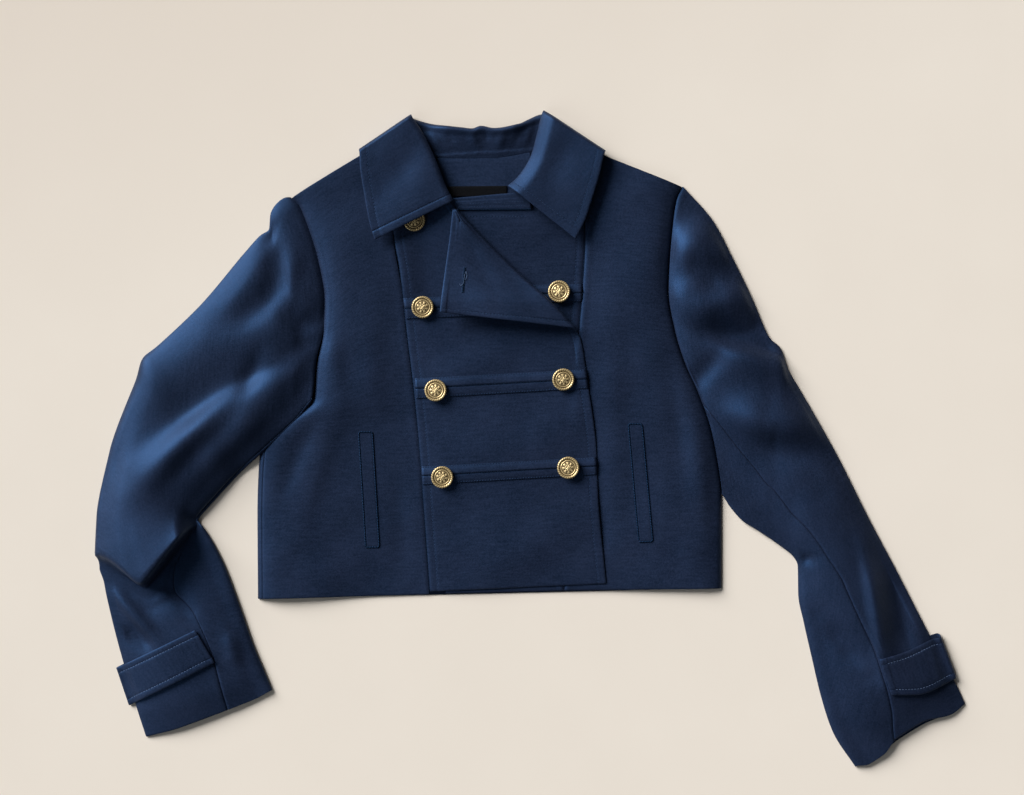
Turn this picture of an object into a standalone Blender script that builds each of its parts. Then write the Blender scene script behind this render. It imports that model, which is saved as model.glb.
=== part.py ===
"""Cropped double-breasted blazer, laid flat on its back with the collar open.

Plan tables are in millimetres on the lay plan: x to the right, y down towards the hem.
Every sheet of cloth is a grid that is lofted through its sections, laid on what is
below it, and given its thickness by a Solidify modifier.
Wearer's right is the plan's left.
"""
import math
from collections import namedtuple

import bmesh
import bpy
import numpy as np
from mathutils import Vector
from mathutils.bvhtree import BVHTree

# Driving dimensions, millimetres
CLOTH = 1.2              # thickness of the twill
GAP = 0.3                # clearance between neighbouring pieces
STEP = CLOTH + GAP       # rise from one laid layer to the next
FLOOR = CLOTH / 2        # middle of a sheet that lies on the floor
PLAN_CENTRE_X = 530.2    # plan point that lies at the part's origin
PLAN_CENTRE_Y = 438.8
METRES = 0.001           # metres in a millimetre
CAST_HEIGHT = 200.0      # height from which the laid layers are probed
SEAM_CLEARANCE = 1.0     # armhole seam, body edge to sleeve edge
SEAM_LAP = 2.0           # top sleeve past the front sleeve seam
SEAM_RAMP = 9.0          # length over which the top sleeve rises onto its seam
SEAM_RISE = 1.8          # rise of the top sleeve at its seam
ROLLED_EDGE = 1.5        # extra height of the sleeve where it rolls round its inner edge
ROLL_BULGE = 1.7         # how far that roll stands out sideways
COLLAR_ROLL = 6.0        # height of the roll along the collar's crease
COLLAR_REACH = 14.0      # how near a thing lifts the collar
LOWEST_FALL = 5.6        # least height of the collar's front, so that its shoulder fold is open
REVERS_ROLL = 3.0        # height of the roll along the turned-back corner's fold
SHOULDER_FOLD = 1.8      # how far the collar stands out where it folds over the shoulder
BAND_LIP = 0.7           # step of a slit band's upper lip over its lower one
BUTTON_STEPS = 18        # facets round a button
REVERS_STAND = 5.0       # how far the turned-back corner's loose point stands off the front
REVERS_LIFT = 2.0        # how far the rest of its free edge stands off
TAB_CURL = 0.45          # height of a tab's wrapped end, as a share of the strap's height
TAB_REACH = 7.0          # how near a thing lifts a tab

# Shares of the collar's width, from its crease
ROLL_TOP = 0.15          # highest line of the roll
ROLL_FOOT = 0.75         # where the collar lies flat

# Shares of a sleeve's width, from its outer edge
ARCH_POWER = 0.75        # fullness of the sleeve's arch, less is fuller
SLIDE_START = 0.16       # elbow fold: where its slide towards the cuff starts
SLIDE_IN = 0.36
SLIDE_END = 0.95         # and where it ends
SLIDE_OUT = 0.42
STACK_IN = 0.14          # elbow fold: rise of its layers from the outer edge
STACK_OUT = 0.12         # and their fall to the inner edge
UNDER_LIFT = 0.80        # where the underside starts to climb onto the body
UNDER_LIFT_RUN = 0.13
TOP_LIFT = 0.60          # where the top starts to climb with it
TOP_LIFT_RUN = 0.18
ROLLED_FROM = 0.88       # where the roll round the inner edge starts
TUCKED_SEAM = 0.95       # a seam this near the inner edge hides the under sleeve
TUCKED_RUN = 0.1

NAVY = (0.014, 0.026, 0.075, 1.0)
BLACK = (0.006, 0.006, 0.008, 1.0)
GOLD = (0.55, 0.36, 0.12, 1.0)

# Panels: a row for each section, hem to shoulder, left and right end of the section
Section = namedtuple("Section", "left_x left_y right_x right_y")

FRONT_RIGHT_SIDE = [
    Section(258.5, 598.5, 429.5, 594.0),   # hem
    Section(258.0, 512.0, 423.0, 500.0),
    Section(261.5, 446.0, 419.5, 450.0),   # side, under the sleeve
    Section(282.0, 423.0, 417.0, 425.0),
    Section(313.0, 399.0, 414.0, 395.0),   # foot of the armhole
    Section(317.0, 362.0, 410.0, 362.0),
    Section(324.0, 329.0, 406.0, 329.0),
    Section(325.0, 300.0, 402.0, 290.0),
    Section(318.0, 258.0, 394.0, 240.0),
    Section(298.5, 204.0, 391.5, 195.0),
    Section(292.0, 198.5, 398.0, 133.0),   # shoulder
]
FRONT_LEFT_SIDE = [
    Section(564.5, 590.0, 721.0, 588.0),   # hem
    Section(569.5, 500.0, 721.0, 512.0),
    Section(571.5, 460.0, 721.0, 493.0),   # foot of the armhole
    Section(573.5, 425.0, 711.0, 432.0),
    Section(575.5, 393.0, 697.0, 391.0),
    Section(577.5, 360.0, 684.0, 362.0),
    Section(579.5, 329.0, 674.0, 329.0),
    Section(583.0, 285.0, 668.0, 290.0),
    Section(585.5, 238.0, 671.0, 238.0),
    Section(584.0, 205.0, 676.0, 201.0),
    Section(566.0, 141.0, 682.0, 187.5),   # shoulder
]
FRONT_RIGHT_PLACKET = [
    Section(430.5, 591.0, 606.0, 583.0),   # hem
    Section(423.8, 500.0, 598.0, 500.0),
    Section(420.6, 456.0, 596.0, 448.0),
    Section(414.8, 393.0, 588.5, 390.0),
    Section(408.2, 339.0, 580.0, 338.0),
    Section(405.9, 318.0, 574.0, 327.0),   # foot of the fold
    Section(402.6, 286.0, 549.0, 301.0),
    Section(400.0, 266.0, 526.0, 281.0),
    Section(395.4, 240.0, 490.0, 245.0),
    Section(392.7, 205.0, 456.0, 210.0),   # top of the fold
    Section(396.5, 172.0, 440.0, 178.0),   # neck edge
]
FRONT_LEFT_PLACKET = [
    Section(446.0, 593.0, 563.5, 590.0),   # hem
    Section(440.0, 500.0, 568.5, 500.0),
    Section(432.0, 393.0, 574.5, 393.0),
    Section(428.0, 329.0, 578.5, 329.0),
    Section(430.0, 274.0, 582.5, 274.0),
    Section(438.0, 238.0, 584.5, 238.0),
    Section(451.0, 199.0, 574.0, 188.0),   # neck edge
]
REVERS = [
    Section(441.0, 313.0, 575.0, 328.5),   # edge that stands off the front
    Section(442.0, 300.0, 549.0, 301.0),
    Section(446.0, 268.0, 515.5, 271.0),
    Section(450.0, 239.0, 485.5, 241.0),
    Section(453.0, 210.5, 457.0, 210.5),   # apex at the neck
]
BACK_FACING = [
    Section(425.0, 224.0, 541.0, 222.0),
    Section(437.0, 160.0, 531.0, 154.0),
]
COLLAR_STAND = [
    Section(435.0, 157.6, 532.5, 151.6),   # neck seam
    Section(429.0, 140.0, 536.0, 134.0),
    Section(420.0, 122.5, 538.5, 117.0),   # crease
]
LABEL = [
    Section(447.0, 197.0, 507.0, 196.5),
    Section(447.0, 187.0, 507.0, 186.5),
]
NECKBAND_LEFT = [
    Section(458.5, 210.0, 532.0, 209.5),
    Section(452.5, 199.5, 530.0, 192.5),
]
WELT_RIGHT = [
    Section(366.0, 547.0, 379.0, 547.0),
    Section(359.5, 432.0, 373.0, 432.0),
]
WELT_LEFT = [
    Section(638.5, 541.5, 651.5, 541.0),
    Section(628.5, 424.0, 642.0, 424.0),
]
BAND_ROWS = {
    "band_right_row2": [
        Section(406.5, 319.0, 480.0, 316.0),
        Section(403.5, 298.5, 480.0, 296.0),
    ],
    "band_left_row2": [
        Section(520.0, 303.5, 581.0, 301.5),
        Section(520.0, 285.5, 581.5, 284.0),
    ],
    "band_row3": [
        Section(416.3, 398.5, 588.0, 388.3),
        Section(414.3, 378.5, 585.8, 369.4),
    ],
    "band_row4": [
        Section(422.8, 484.5, 597.0, 474.3),
        Section(421.5, 466.5, 595.8, 457.0),
    ],
}

# Shoulder and neck line of the back, from shoulder tip to shoulder tip
NeckPoint = namedtuple("NeckPoint", "x y")
BACK_NECK = [
    NeckPoint(292.0, 198.5),
    NeckPoint(398.0, 133.0),
    NeckPoint(436.0, 158.5),
    NeckPoint(532.0, 152.5),
    NeckPoint(566.0, 141.0),
    NeckPoint(682.0, 187.5),
]

# Collar: a row for each station from the right front edge, round the neck, to the left front edge
CollarStation = namedtuple("CollarStation", "side crease_x crease_y edge_x edge_y")
COLLAR = [
    CollarStation("front", 454.0, 202.0, 376.0, 241.0),
    CollarStation("front", 447.0, 189.0, 371.0, 225.0),
    CollarStation("front", 436.0, 161.0, 366.0, 198.0),
    CollarStation("front", 424.0, 136.0, 361.5, 168.0),
    CollarStation("front", 413.0, 119.5, 361.0, 154.5),
    CollarStation("fold", 411.5, 117.5, 360.0, 152.5),
    CollarStation("back", 413.0, 119.5, 361.0, 154.5),
    CollarStation("back", 421.0, 122.5, 385.0, 185.0),
    CollarStation("back", 440.0, 126.5, 420.0, 203.0),
    CollarStation("back", 465.0, 129.0, 455.0, 210.0),
    CollarStation("back", 481.0, 128.0, 481.0, 212.0),
    CollarStation("back", 505.0, 128.5, 515.0, 209.0),
    CollarStation("back", 525.0, 122.5, 548.0, 198.0),
    CollarStation("back", 536.5, 117.5, 580.0, 180.0),
    CollarStation("back", 542.0, 115.5, 603.5, 155.5),
    CollarStation("fold", 543.5, 113.5, 605.0, 154.0),
    CollarStation("front", 542.0, 115.5, 603.5, 155.5),
    CollarStation("front", 536.0, 139.0, 598.0, 178.0),
    CollarStation("front", 531.0, 157.0, 592.0, 198.0),
    CollarStation("front", 518.0, 178.0, 584.0, 222.0),
    CollarStation("front", 508.0, 187.0, 575.0, 240.0),
]
COLLAR_SHARES = (0.0, 0.02, 0.07, 0.15, 0.3, 0.5, 0.75, 1.0)   # crease to edge

# Sleeves: a row for each section, armhole to cuff.
# seam is the share of the width that the top sleeve covers, rise its height over the floor,
# lift the height of its underside where it lies on the body, cap the share of the armhole's bow,
# reach how far the middle slides towards the cuff in the elbow fold, stack how high it lies there.
SleeveSection = namedtuple(
    "SleeveSection", "outer_x outer_y inner_x inner_y seam rise lift cap reach stack")
SLEEVE_RIGHT = [
    SleeveSection(292.0, 198.5, 313.0, 399.0, 0.970, 0.0, 3.0, 1.0, 0, 0),      # armhole
    SleeveSection(271.0, 222.0, 299.0, 416.5, 0.970, 9.0, 3.0, 0.65, 0, 0),
    SleeveSection(244.0, 256.0, 281.0, 434.0, 0.970, 14.0, 3.0, 0.35, 0, 0),
    SleeveSection(202.0, 306.0, 261.0, 452.0, 0.970, 16.0, 3.0, 0.12, 0, 0),
    SleeveSection(160.0, 346.0, 237.0, 474.0, 0.970, 17.0, 0.0, 0.0, 0, 0),
    SleeveSection(138.0, 379.0, 214.0, 499.0, 0.970, 18.0, 0.0, 0.0, 0, 0),
    SleeveSection(112.0, 452.0, 199.0, 516.0, 0.970, 16.0, 0.0, 0.0, 8, 2),
    SleeveSection(99.0, 515.0, 197.5, 519.0, 0.970, 12.0, 0.0, 0.0, 28, 7),
    SleeveSection(97.5, 552.0, 197.5, 521.5, 0.970, 9.0, 0.0, 0.0, 48, 10),     # lip of the elbow fold
    SleeveSection(98.5, 556.0, 198.5, 523.5, 0.970, 9.0, 0.0, 0.0, 46, 6),
    SleeveSection(100.0, 562.0, 200.0, 526.0, 0.970, 8.0, 0.0, 0.0, 14, 4),
    SleeveSection(101.5, 568.0, 202.5, 528.5, 0.970, 8.0, 0.0, 0.0, 14, 0),
    SleeveSection(105.5, 580.0, 209.0, 538.0, 0.930, 9.0, 0.0, 0.0, 30, 0),
    SleeveSection(108.5, 595.0, 222.0, 563.0, 0.800, 10.0, 0.0, 0.0, 10, 0),
    SleeveSection(117.0, 631.0, 238.0, 605.0, 0.690, 11.0, 0.0, 0.0, 0, 0),
    SleeveSection(126.0, 664.0, 252.0, 645.0, 0.690, 11.0, 0.0, 0.0, 0, 0),
    SleeveSection(138.0, 705.0, 262.5, 670.0, 0.670, 11.0, 0.0, 0.0, 0, 0),
    SleeveSection(148.0, 736.0, 271.0, 690.5, 0.650, 11.0, 0.0, 0.0, 0, 0),     # cuff
]
SLEEVE_LEFT = [
    SleeveSection(682.0, 187.5, 721.0, 493.0, 0.840, 0.0, 0, 1.0, 0, 0),        # armhole
    SleeveSection(712.0, 222.0, 732.0, 507.0, 0.770, 9.0, 0, 0.6, 0, 0),
    SleeveSection(730.0, 256.0, 744.0, 520.0, 0.755, 13.0, 0, 0.35, 0, 0),
    SleeveSection(749.0, 295.0, 757.0, 528.0, 0.755, 15.0, 0, 0.15, 0, 0),
    SleeveSection(773.0, 343.0, 768.0, 535.0, 0.750, 16.0, 0, 0.05, 0, 0),
    SleeveSection(787.0, 370.0, 777.0, 541.5, 0.750, 16.0, 0, 0.0, 0, 0),
    SleeveSection(803.0, 398.0, 786.0, 548.0, 0.765, 16.0, 0, 0.0, 0, 0),
    SleeveSection(834.0, 453.0, 793.0, 554.0, 0.730, 16.0, 0, 0.0, 0, 0),
    SleeveSection(868.0, 521.0, 799.0, 566.0, 0.670, 15.0, 0, 0.0, 0, 0),       # elbow
    SleeveSection(893.0, 568.0, 799.5, 594.0, 0.555, 14.0, 0, 0.0, 0, 0),
    SleeveSection(912.0, 605.0, 805.0, 622.0, 0.533, 14.0, 0, 0.0, 0, 0),
    SleeveSection(930.0, 640.0, 813.0, 657.0, 0.505, 13.0, 0, 0.0, 0, 0),
    SleeveSection(944.0, 666.0, 822.0, 695.0, 0.512, 13.0, 0, 0.0, 0, 0),
    SleeveSection(955.0, 686.0, 834.0, 731.0, 0.540, 13.0, 0, 0.0, 0, 0),
    SleeveSection(963.0, 704.0, 856.0, 765.0, 0.635, 13.0, 0, 0.0, 0, 0),       # cuff
]

# Largest folds of the sleeves: ridges stand up, troughs (negative height) sink
Fold = namedtuple("Fold", "from_x from_y to_x to_y width height")
FOLDS_RIGHT = [
    Fold(262, 245, 270, 290, 9, -5.0),
    Fold(270, 290, 245, 312, 9, -4.0),
    Fold(279, 299, 307, 321, 8, -4.0),
    Fold(289, 256, 287, 276, 8, 4.0),
    Fold(262, 302, 233, 352, 14, 5.0),
    Fold(147, 371, 275, 348, 22, -6.0),
    Fold(137, 467, 220, 404, 16, 8.0),
    Fold(195, 448, 225, 400, 14, -5.0),
    Fold(214, 457, 267, 410, 14, 6.0),
    Fold(107, 590, 157, 638, 11, 5.0),
    Fold(132, 626, 156, 642, 9, -4.0),
]
FOLDS_LEFT = [
    Fold(672, 265, 712, 238, 11, -5.0),
    Fold(674, 288, 696, 301, 9, -4.0),
    Fold(674, 310, 688, 300, 8, 4.0),
    Fold(694, 318, 755, 322, 18, -7.0),
    Fold(726, 336, 771, 344, 9, 6.0),
    Fold(696, 372, 706, 351, 8, -3.0),
    Fold(757, 407, 791, 414, 17, 5.0),
    Fold(873, 574, 876, 652, 11, -6.0),
]

# Strap tabs of the cuffs: free end, and end that wraps round the outer edge of the sleeve
TAB_RIGHT = [
    Section(120.0, 671.0, 131.5, 704.0),   # wrapped end
    Section(126.0, 666.0, 139.0, 700.0),
    Section(197.0, 629.0, 216.0, 661.0),   # free end
]
TAB_LEFT = [
    Section(876.0, 657.0, 888.0, 692.0),   # free end
    Section(926.0, 640.5, 940.0, 682.5),
    Section(937.5, 638.0, 952.5, 678.0),   # wrapped end
]

# Buttons: plan place, and profile from the crown down to the shank side
Button = namedtuple("Button", "name x y")
BUTTONS = [
    Button("button_right_1", 414.6, 221.0),
    Button("button_right_2", 423.0, 307.5),
    Button("button_right_3", 436.0, 390.5),
    Button("button_right_4", 442.5, 476.7),
    Button("button_left_2", 559.0, 292.0),
    Button("button_left_3", 563.0, 379.5),
    Button("button_left_4", 568.0, 467.5),
]
Turning = namedtuple("Turning", "radius height")
BUTTON_PROFILE = [
    Turning(0.0, 4.6),
    Turning(4.2, 4.4),
    Turning(7.9, 3.7),
    Turning(8.5, 4.3),
    Turning(10.2, 4.4),
    Turning(11.0, 3.5),
    Turning(11.0, 2.0),
    Turning(9.4, 0.9),
    Turning(0.0, 0.0),
]
BUTTON_RADIUS = max(row.radius for row in BUTTON_PROFILE)
BUTTON_HEIGHT = max(row.height for row in BUTTON_PROFILE)
FOOT_REACH = 3.0         # part of the button's foot that rests on the cloth
FOOT_RISE = 1.6          # rise of the foot from its middle to the rim

laid = {}    # middle surface of each piece laid so far, by name, for what is laid on it


def remove_objects():
    """Empty the scene."""
    for item in list(bpy.data.objects):
        bpy.data.objects.remove(item)


def world(x, y, z):
    """Plan millimetres to the part's own metres."""
    return Vector(((x - PLAN_CENTRE_X) * METRES, (PLAN_CENTRE_Y - y) * METRES, z * METRES))


def ease(value):
    """Smooth step from 0 to 1."""
    value = min(max(value, 0.0), 1.0)
    return value * value * (3.0 - 2.0 * value)


def slopes(knots, values):
    """Slopes of a curve through the values that never overshoots them."""
    steps = np.diff(values) / np.diff(knots)
    result = np.zeros(len(values))
    result[0] = steps[0]
    result[-1] = steps[-1]
    for index in range(1, len(values) - 1):
        before, after = steps[index - 1], steps[index]
        if before * after > 0.0:
            result[index] = 2.0 * before * after / (before + after)
    return result


def curve(knots, values):
    """Smooth function through the values at the knots."""
    knots = np.asarray(knots, dtype=float)
    values = np.asarray(values, dtype=float)
    tangents = slopes(knots, values)

    def at(place):
        index = int(np.clip(np.searchsorted(knots, place) - 1, 0, len(knots) - 2))
        span = knots[index + 1] - knots[index]
        share = (place - knots[index]) / span
        rest = 1.0 - share
        return ((1.0 + 2.0 * share) * rest * rest * values[index]
                + share * rest * rest * span * tangents[index]
                + share * share * (3.0 - 2.0 * share) * values[index + 1]
                - share * share * rest * span * tangents[index + 1])
    return at


def columns(rows, names):
    """One smooth function of the row number for each named column."""
    numbers = range(len(rows))
    return [curve(numbers, [getattr(row, name) for row in rows]) for name in names]


def rest_height(x, y, reach, beside=()):
    """Middle height of a new sheet that lies on what is within reach of a plan point, not beside it."""
    probes = [(0.0, 0.0)]
    if reach > 0.0:
        for turn in range(8):
            angle = turn * math.pi / 4.0
            probes.append((reach * math.cos(angle), reach * math.sin(angle)))
    highest = FLOOR - STEP
    down = Vector((0.0, 0.0, -1.0))
    for name, tree in laid.items():
        if name in beside:
            continue
        for offset_x, offset_y in probes:
            hit = tree.ray_cast(Vector((x + offset_x, y + offset_y, CAST_HEIGHT)), down)[0]
            if hit is not None and hit.z > highest:
                highest = hit.z
    return highest + STEP


def remember(name, points):
    """Keep a sheet's middle surface for what is laid on it later."""
    rows, cols = points.shape[:2]
    corners = [Vector(point) for point in points.reshape(-1, 3)]
    quads = []
    for row in range(rows - 1):
        for col in range(cols - 1):
            first = row * cols + col
            quads.append((first, first + 1, first + cols + 1, first + cols))
    laid[name] = BVHTree.FromPolygons(corners, quads)


def settle(points, reach, passes=2, beside=()):
    """Lay a grid of plan points on what is below, with soft ramps over its edges."""
    needed = np.array([[rest_height(x, y, reach, beside) for x, y, _ in row] for row in points])
    heights = needed.copy()
    for _ in range(passes):
        padded = np.pad(heights, 1, mode="edge")
        mean = (padded[:-2, 1:-1] + padded[2:, 1:-1] + padded[1:-1, :-2] + padded[1:-1, 2:]) / 4.0
        heights = np.maximum(needed, mean)
    points[:, :, 2] += heights
    return points


def loft(rows, row_count, col_count):
    """Grid of plan points through a panel's sections, hem row first."""
    left_x, left_y, right_x, right_y = columns(rows, Section._fields)
    points = np.zeros((row_count + 1, col_count + 1, 3))
    for row in range(row_count + 1):
        place = (len(rows) - 1) * row / row_count
        left = np.array((left_x(place), left_y(place), 0.0))
        right = np.array((right_x(place), right_y(place), 0.0))
        for col in range(col_count + 1):
            points[row, col] = left + (right - left) * col / col_count
    return points


def make_material(name, colour, roughness, metallic):
    """Principled material of one finish."""
    material = bpy.data.materials.new(name)
    material.use_nodes = True
    shader = material.node_tree.nodes["Principled BSDF"]
    shader.inputs["Base Color"].default_value = colour
    shader.inputs["Roughness"].default_value = roughness
    shader.inputs["Metallic"].default_value = metallic
    return material


def make_sheet(name, points, material, collection):
    """Cloth solid: a grid moved to its plan points, then thickened to both sides."""
    rows, cols = points.shape[0] - 1, points.shape[1] - 1
    mesh_builder = bmesh.new()
    bmesh.ops.create_grid(mesh_builder, x_segments=cols, y_segments=rows, size=0.5)
    for vertex in mesh_builder.verts:
        col = round((vertex.co.x + 0.5) * cols)
        row = round((vertex.co.y + 0.5) * rows)
        vertex.co = world(*points[row, col])
    mesh = bpy.data.meshes.new(name)
    mesh_builder.to_mesh(mesh)
    mesh_builder.free()
    mesh.materials.append(material)
    mesh.shade_smooth()
    sheet = bpy.data.objects.new(name, mesh)
    collection.objects.link(sheet)
    wall = sheet.modifiers.new("cloth", "SOLIDIFY")
    wall.thickness = CLOTH * METRES
    wall.offset = 0.0
    return sheet


def lay_panel(name, rows, material, collection, row_count, col_count, reach, beside=()):
    """Make a panel from its sections and lay it on what is below."""
    points = settle(loft(rows, row_count, col_count), reach, beside=beside)
    make_sheet(name, points, material, collection)
    remember(name, points)


def back_points(row_count, cols_between):
    """Plan of the back: the fronts' side edges, drawn up to the shoulder and neck line."""
    left_x, left_y = columns(FRONT_RIGHT_SIDE, ("left_x", "left_y"))
    right_x, right_y = columns(FRONT_LEFT_SIDE, ("right_x", "right_y"))
    last = len(FRONT_RIGHT_SIDE) - 1
    crown_row = last - 4
    neck_x = [point.x for point in BACK_NECK]
    neck_y = [point.y for point in BACK_NECK]
    col_count = cols_between * (len(BACK_NECK) - 1)
    column_x = np.interp(np.arange(col_count + 1) / cols_between, range(len(BACK_NECK)), neck_x)
    points = np.zeros((row_count + 1, col_count + 1, 3))
    for row in range(row_count + 1):
        place = last * row / row_count
        left = np.array((left_x(place), left_y(place), 0.0))
        right = np.array((right_x(place), right_y(place), 0.0))
        crown = max(0.0, (place - crown_row) / (last - crown_row))
        for col, x in enumerate(column_x):
            share = (x - neck_x[0]) / (neck_x[-1] - neck_x[0])
            point = left + (right - left) * share
            tip_y = neck_y[0] + (neck_y[-1] - neck_y[0]) * share
            point[1] += crown * (np.interp(x, neck_x, neck_y) - tip_y)
            points[row, col] = point
    return points


def collar_points():
    """Collar strip in plan, crease to edge, with the folds at the shoulders marked by their side."""
    names = ("crease_x", "crease_y", "edge_x", "edge_y")
    points = np.zeros((len(COLLAR), len(COLLAR_SHARES), 3))
    for row, station in enumerate(COLLAR):
        crease_x, crease_y, edge_x, edge_y = (getattr(station, name) for name in names)
        for col, share in enumerate(COLLAR_SHARES):
            points[row, col] = (crease_x + (edge_x - crease_x) * share,
                                crease_y + (edge_y - crease_y) * share, 0.0)
    return points


def collar_roll(share):
    """Height of the collar's roll, from its crease to where it lies flat."""
    rounded = math.sqrt(max(0.0, 1.0 - (1.0 - min(share / ROLL_TOP, 1.0)) ** 2))
    return COLLAR_ROLL * rounded * (1.0 - ease((share - ROLL_TOP) / (ROLL_FOOT - ROLL_TOP)))


def finish_collar(points, material, collection):
    """Lay the collar's fronts on the blazer and fold them over the shoulders to its back."""
    sides = [station.side for station in COLLAR]
    for row, side in enumerate(sides):
        for col, share in enumerate(COLLAR_SHARES):
            x, y, _ = points[row, col]
            if side == "front":
                lying = rest_height(x, y, COLLAR_REACH, beside=("collar_behind",))
                points[row, col, 2] = max(lying, LOWEST_FALL) + collar_roll(share)
    for row, side in enumerate(sides):
        if side == "fold":
            front = row - 1 if sides[row - 1] == "front" else row + 1
            for col in range(len(COLLAR_SHARES)):
                points[row, col, 2] = (FLOOR + points[front, col, 2]) / 2.0
                points[row, col, 1] -= SHOULDER_FOLD
    make_sheet("collar_fall", points, material, collection)


def fold_height(folds, x, y):
    """Sum of the soft ridges and troughs at a plan point."""
    total = 0.0
    for fold in folds:
        run_x, run_y = fold.to_x - fold.from_x, fold.to_y - fold.from_y
        length = math.hypot(run_x, run_y)
        along = ((x - fold.from_x) * run_x + (y - fold.from_y) * run_y) / length
        across = ((x - fold.from_x) * run_y - (y - fold.from_y) * run_x) / length
        past = max(0.0, -along, along - length)
        total += fold.height * math.exp(-(across ** 2 + past ** 2) / fold.width ** 2)
    return total


class Sleeve:
    """A sleeve's surfaces by place along it (row number) and share of its width (outer to inner)."""

    def __init__(self, rows, armhole, folds, away):
        self.rows = rows
        self.armhole = armhole      # function of the share, outer to inner
        self.folds = folds
        self.away = away            # sign of the plan direction from body to sleeve
        self.values = dict(zip(SleeveSection._fields, columns(rows, SleeveSection._fields)))

    def value(self, name, place):
        return self.values[name](place)

    def ends(self, place):
        outer = np.array((self.value("outer_x", place), self.value("outer_y", place)))
        inner = np.array((self.value("inner_x", place), self.value("inner_y", place)))
        return outer, inner

    def width(self, place):
        outer, inner = self.ends(place)
        return float(np.linalg.norm(inner - outer))

    def plan(self, place, share, folded=True):
        """Plan point, with the armhole's bow near the cap and the slide of the elbow fold."""
        outer, inner = self.ends(place)
        first, last = self.ends(0)
        inside = min(max(share, 0.0), 1.0)
        point = outer + (inner - outer) * share
        point += self.value("cap", place) * (self.armhole(inside) - first - (last - first) * inside)
        point[0] += self.away * SEAM_CLEARANCE
        if folded:
            chord = (inner - outer) / np.linalg.norm(inner - outer)
            towards_cuff = np.array((-chord[1], chord[0]))
            slide = ease((inside - SLIDE_START) / SLIDE_IN) * ease((SLIDE_END - inside) / SLIDE_OUT)
            point += self.value("reach", place) * slide * towards_cuff
        return point

    def rolled_edge(self, place):
        """Plan point of the roll round the inner edge, square to that edge."""
        last = len(self.rows) - 1
        before = self.ends(max(place - 0.5, 0.0))[1]
        after = self.ends(min(place + 0.5, last))[1]
        run = (after - before) / np.linalg.norm(after - before)
        out = np.array((-run[1], run[0])) * self.away
        return self.plan(place, 1.0, folded=False) + out * ROLL_BULGE * ease(place)

    def under_height(self, place, share):
        """Middle of the sheet that lies on the floor, or on the body beside the armhole."""
        return FLOOR + self.value("lift", place) * ease((share - UNDER_LIFT) / UNDER_LIFT_RUN)

    def top_height(self, place, share, shown=1.0):
        """Middle of the sheet that shows from above; shown is 0 where it is tucked under the top."""
        inside = min(max(share, 0.0), 1.0)
        x, y = self.plan(place, inside)
        arch = math.sin(math.pi * inside) ** ARCH_POWER
        puff = self.value("rise", place) * arch
        puff += fold_height(self.folds, x, y) * arch * ease(place)
        puff += self.value("stack", place) * ease(inside / STACK_IN) * ease((1.0 - inside) / STACK_OUT)
        rolled = ROLLED_EDGE * ease((inside - ROLLED_FROM) / (1.0 - ROLLED_FROM))
        lying = FLOOR + self.value("lift", place) * ease((inside - TOP_LIFT) / TOP_LIFT_RUN)
        return lying + STEP + rolled + shown * max(0.0, puff)


def sleeve_top_points(sleeve, row_count):
    """Top sleeve from the outer edge to just past the front seam."""
    steps = (0.0, 0.02, 0.07, 0.16, 0.3, 0.45, 0.6, 0.75, 0.88)
    points = np.zeros((row_count + 1, len(steps) + 3, 3))
    for row in range(row_count + 1):
        place = (len(sleeve.rows) - 1) * row / row_count
        seam, width = sleeve.value("seam", place), sleeve.width(place)
        ramp = seam - SEAM_RAMP / width
        shares = [step * ramp for step in steps] + [ramp, seam, seam + SEAM_LAP / width]
        for col, share in enumerate(shares):
            x, y = sleeve.plan(place, share)
            on_seam = SEAM_RISE if share >= seam else 0.0
            points[row, col] = (x, y, sleeve.top_height(place, share) + on_seam)
    return points


def sleeve_under_points(sleeve, places):
    """Under sleeve along the floor, round the inner edge and up to the front seam."""
    floor_shares = (0.0, 0.2, 0.4, 0.6, 0.75, 0.85, 0.93, 1.0)
    top_shares = (0.0, 0.3, 0.6, 1.0)
    points = np.zeros((len(places), len(floor_shares) + 1 + len(top_shares), 3))
    for row, place in enumerate(places):
        seam = sleeve.value("seam", place)
        for col, share in enumerate(floor_shares):
            x, y = sleeve.plan(place, share, folded=False)
            points[row, col] = (x, y, sleeve.under_height(place, share))
        x, y = sleeve.rolled_edge(place)
        middle = (sleeve.under_height(place, 1.0) + sleeve.top_height(place, 1.0)) / 2.0
        points[row, len(floor_shares)] = (x, y, middle)
        for step, share in enumerate(top_shares):
            at = 1.0 + (seam - 1.0) * share
            x, y = sleeve.plan(place, at)
            height = sleeve.top_height(place, at, shown=ease((TUCKED_SEAM - seam) / TUCKED_RUN))
            points[row, len(floor_shares) + 1 + step] = (x, y, height)
    return points


def lay_sleeve(name, sleeve, row_count, under_places, material, collection):
    """Both pieces of one sleeve."""
    under = sleeve_under_points(sleeve, under_places)
    make_sheet(name + "_under", under, material, collection)
    remember(name + "_under", under)
    top = sleeve_top_points(sleeve, row_count)
    make_sheet(name + "_top", top, material, collection)
    remember(name + "_top", top)


def lay_tab(name, rows, wrapped_row, material, collection):
    """Strap tab on the sleeve, its wrapped end curled down past the outer edge."""
    row_count, col_count = 10, 4
    points = loft(rows, row_count, col_count)
    heights = np.array([[rest_height(x, y, TAB_REACH) for x, y, _ in row] for row in points])
    for row in range(row_count + 1):
        heights[row, :] = (heights[row].max() + heights[row]) / 2.0
    edge = 0 if wrapped_row == 0 else row_count
    beside = 1 if wrapped_row == 0 else row_count - 1
    heights[edge, :] = heights[beside, :] * TAB_CURL
    points[:, :, 2] = np.maximum(heights, FLOOR)
    make_sheet(name, points, material, collection)


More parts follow.
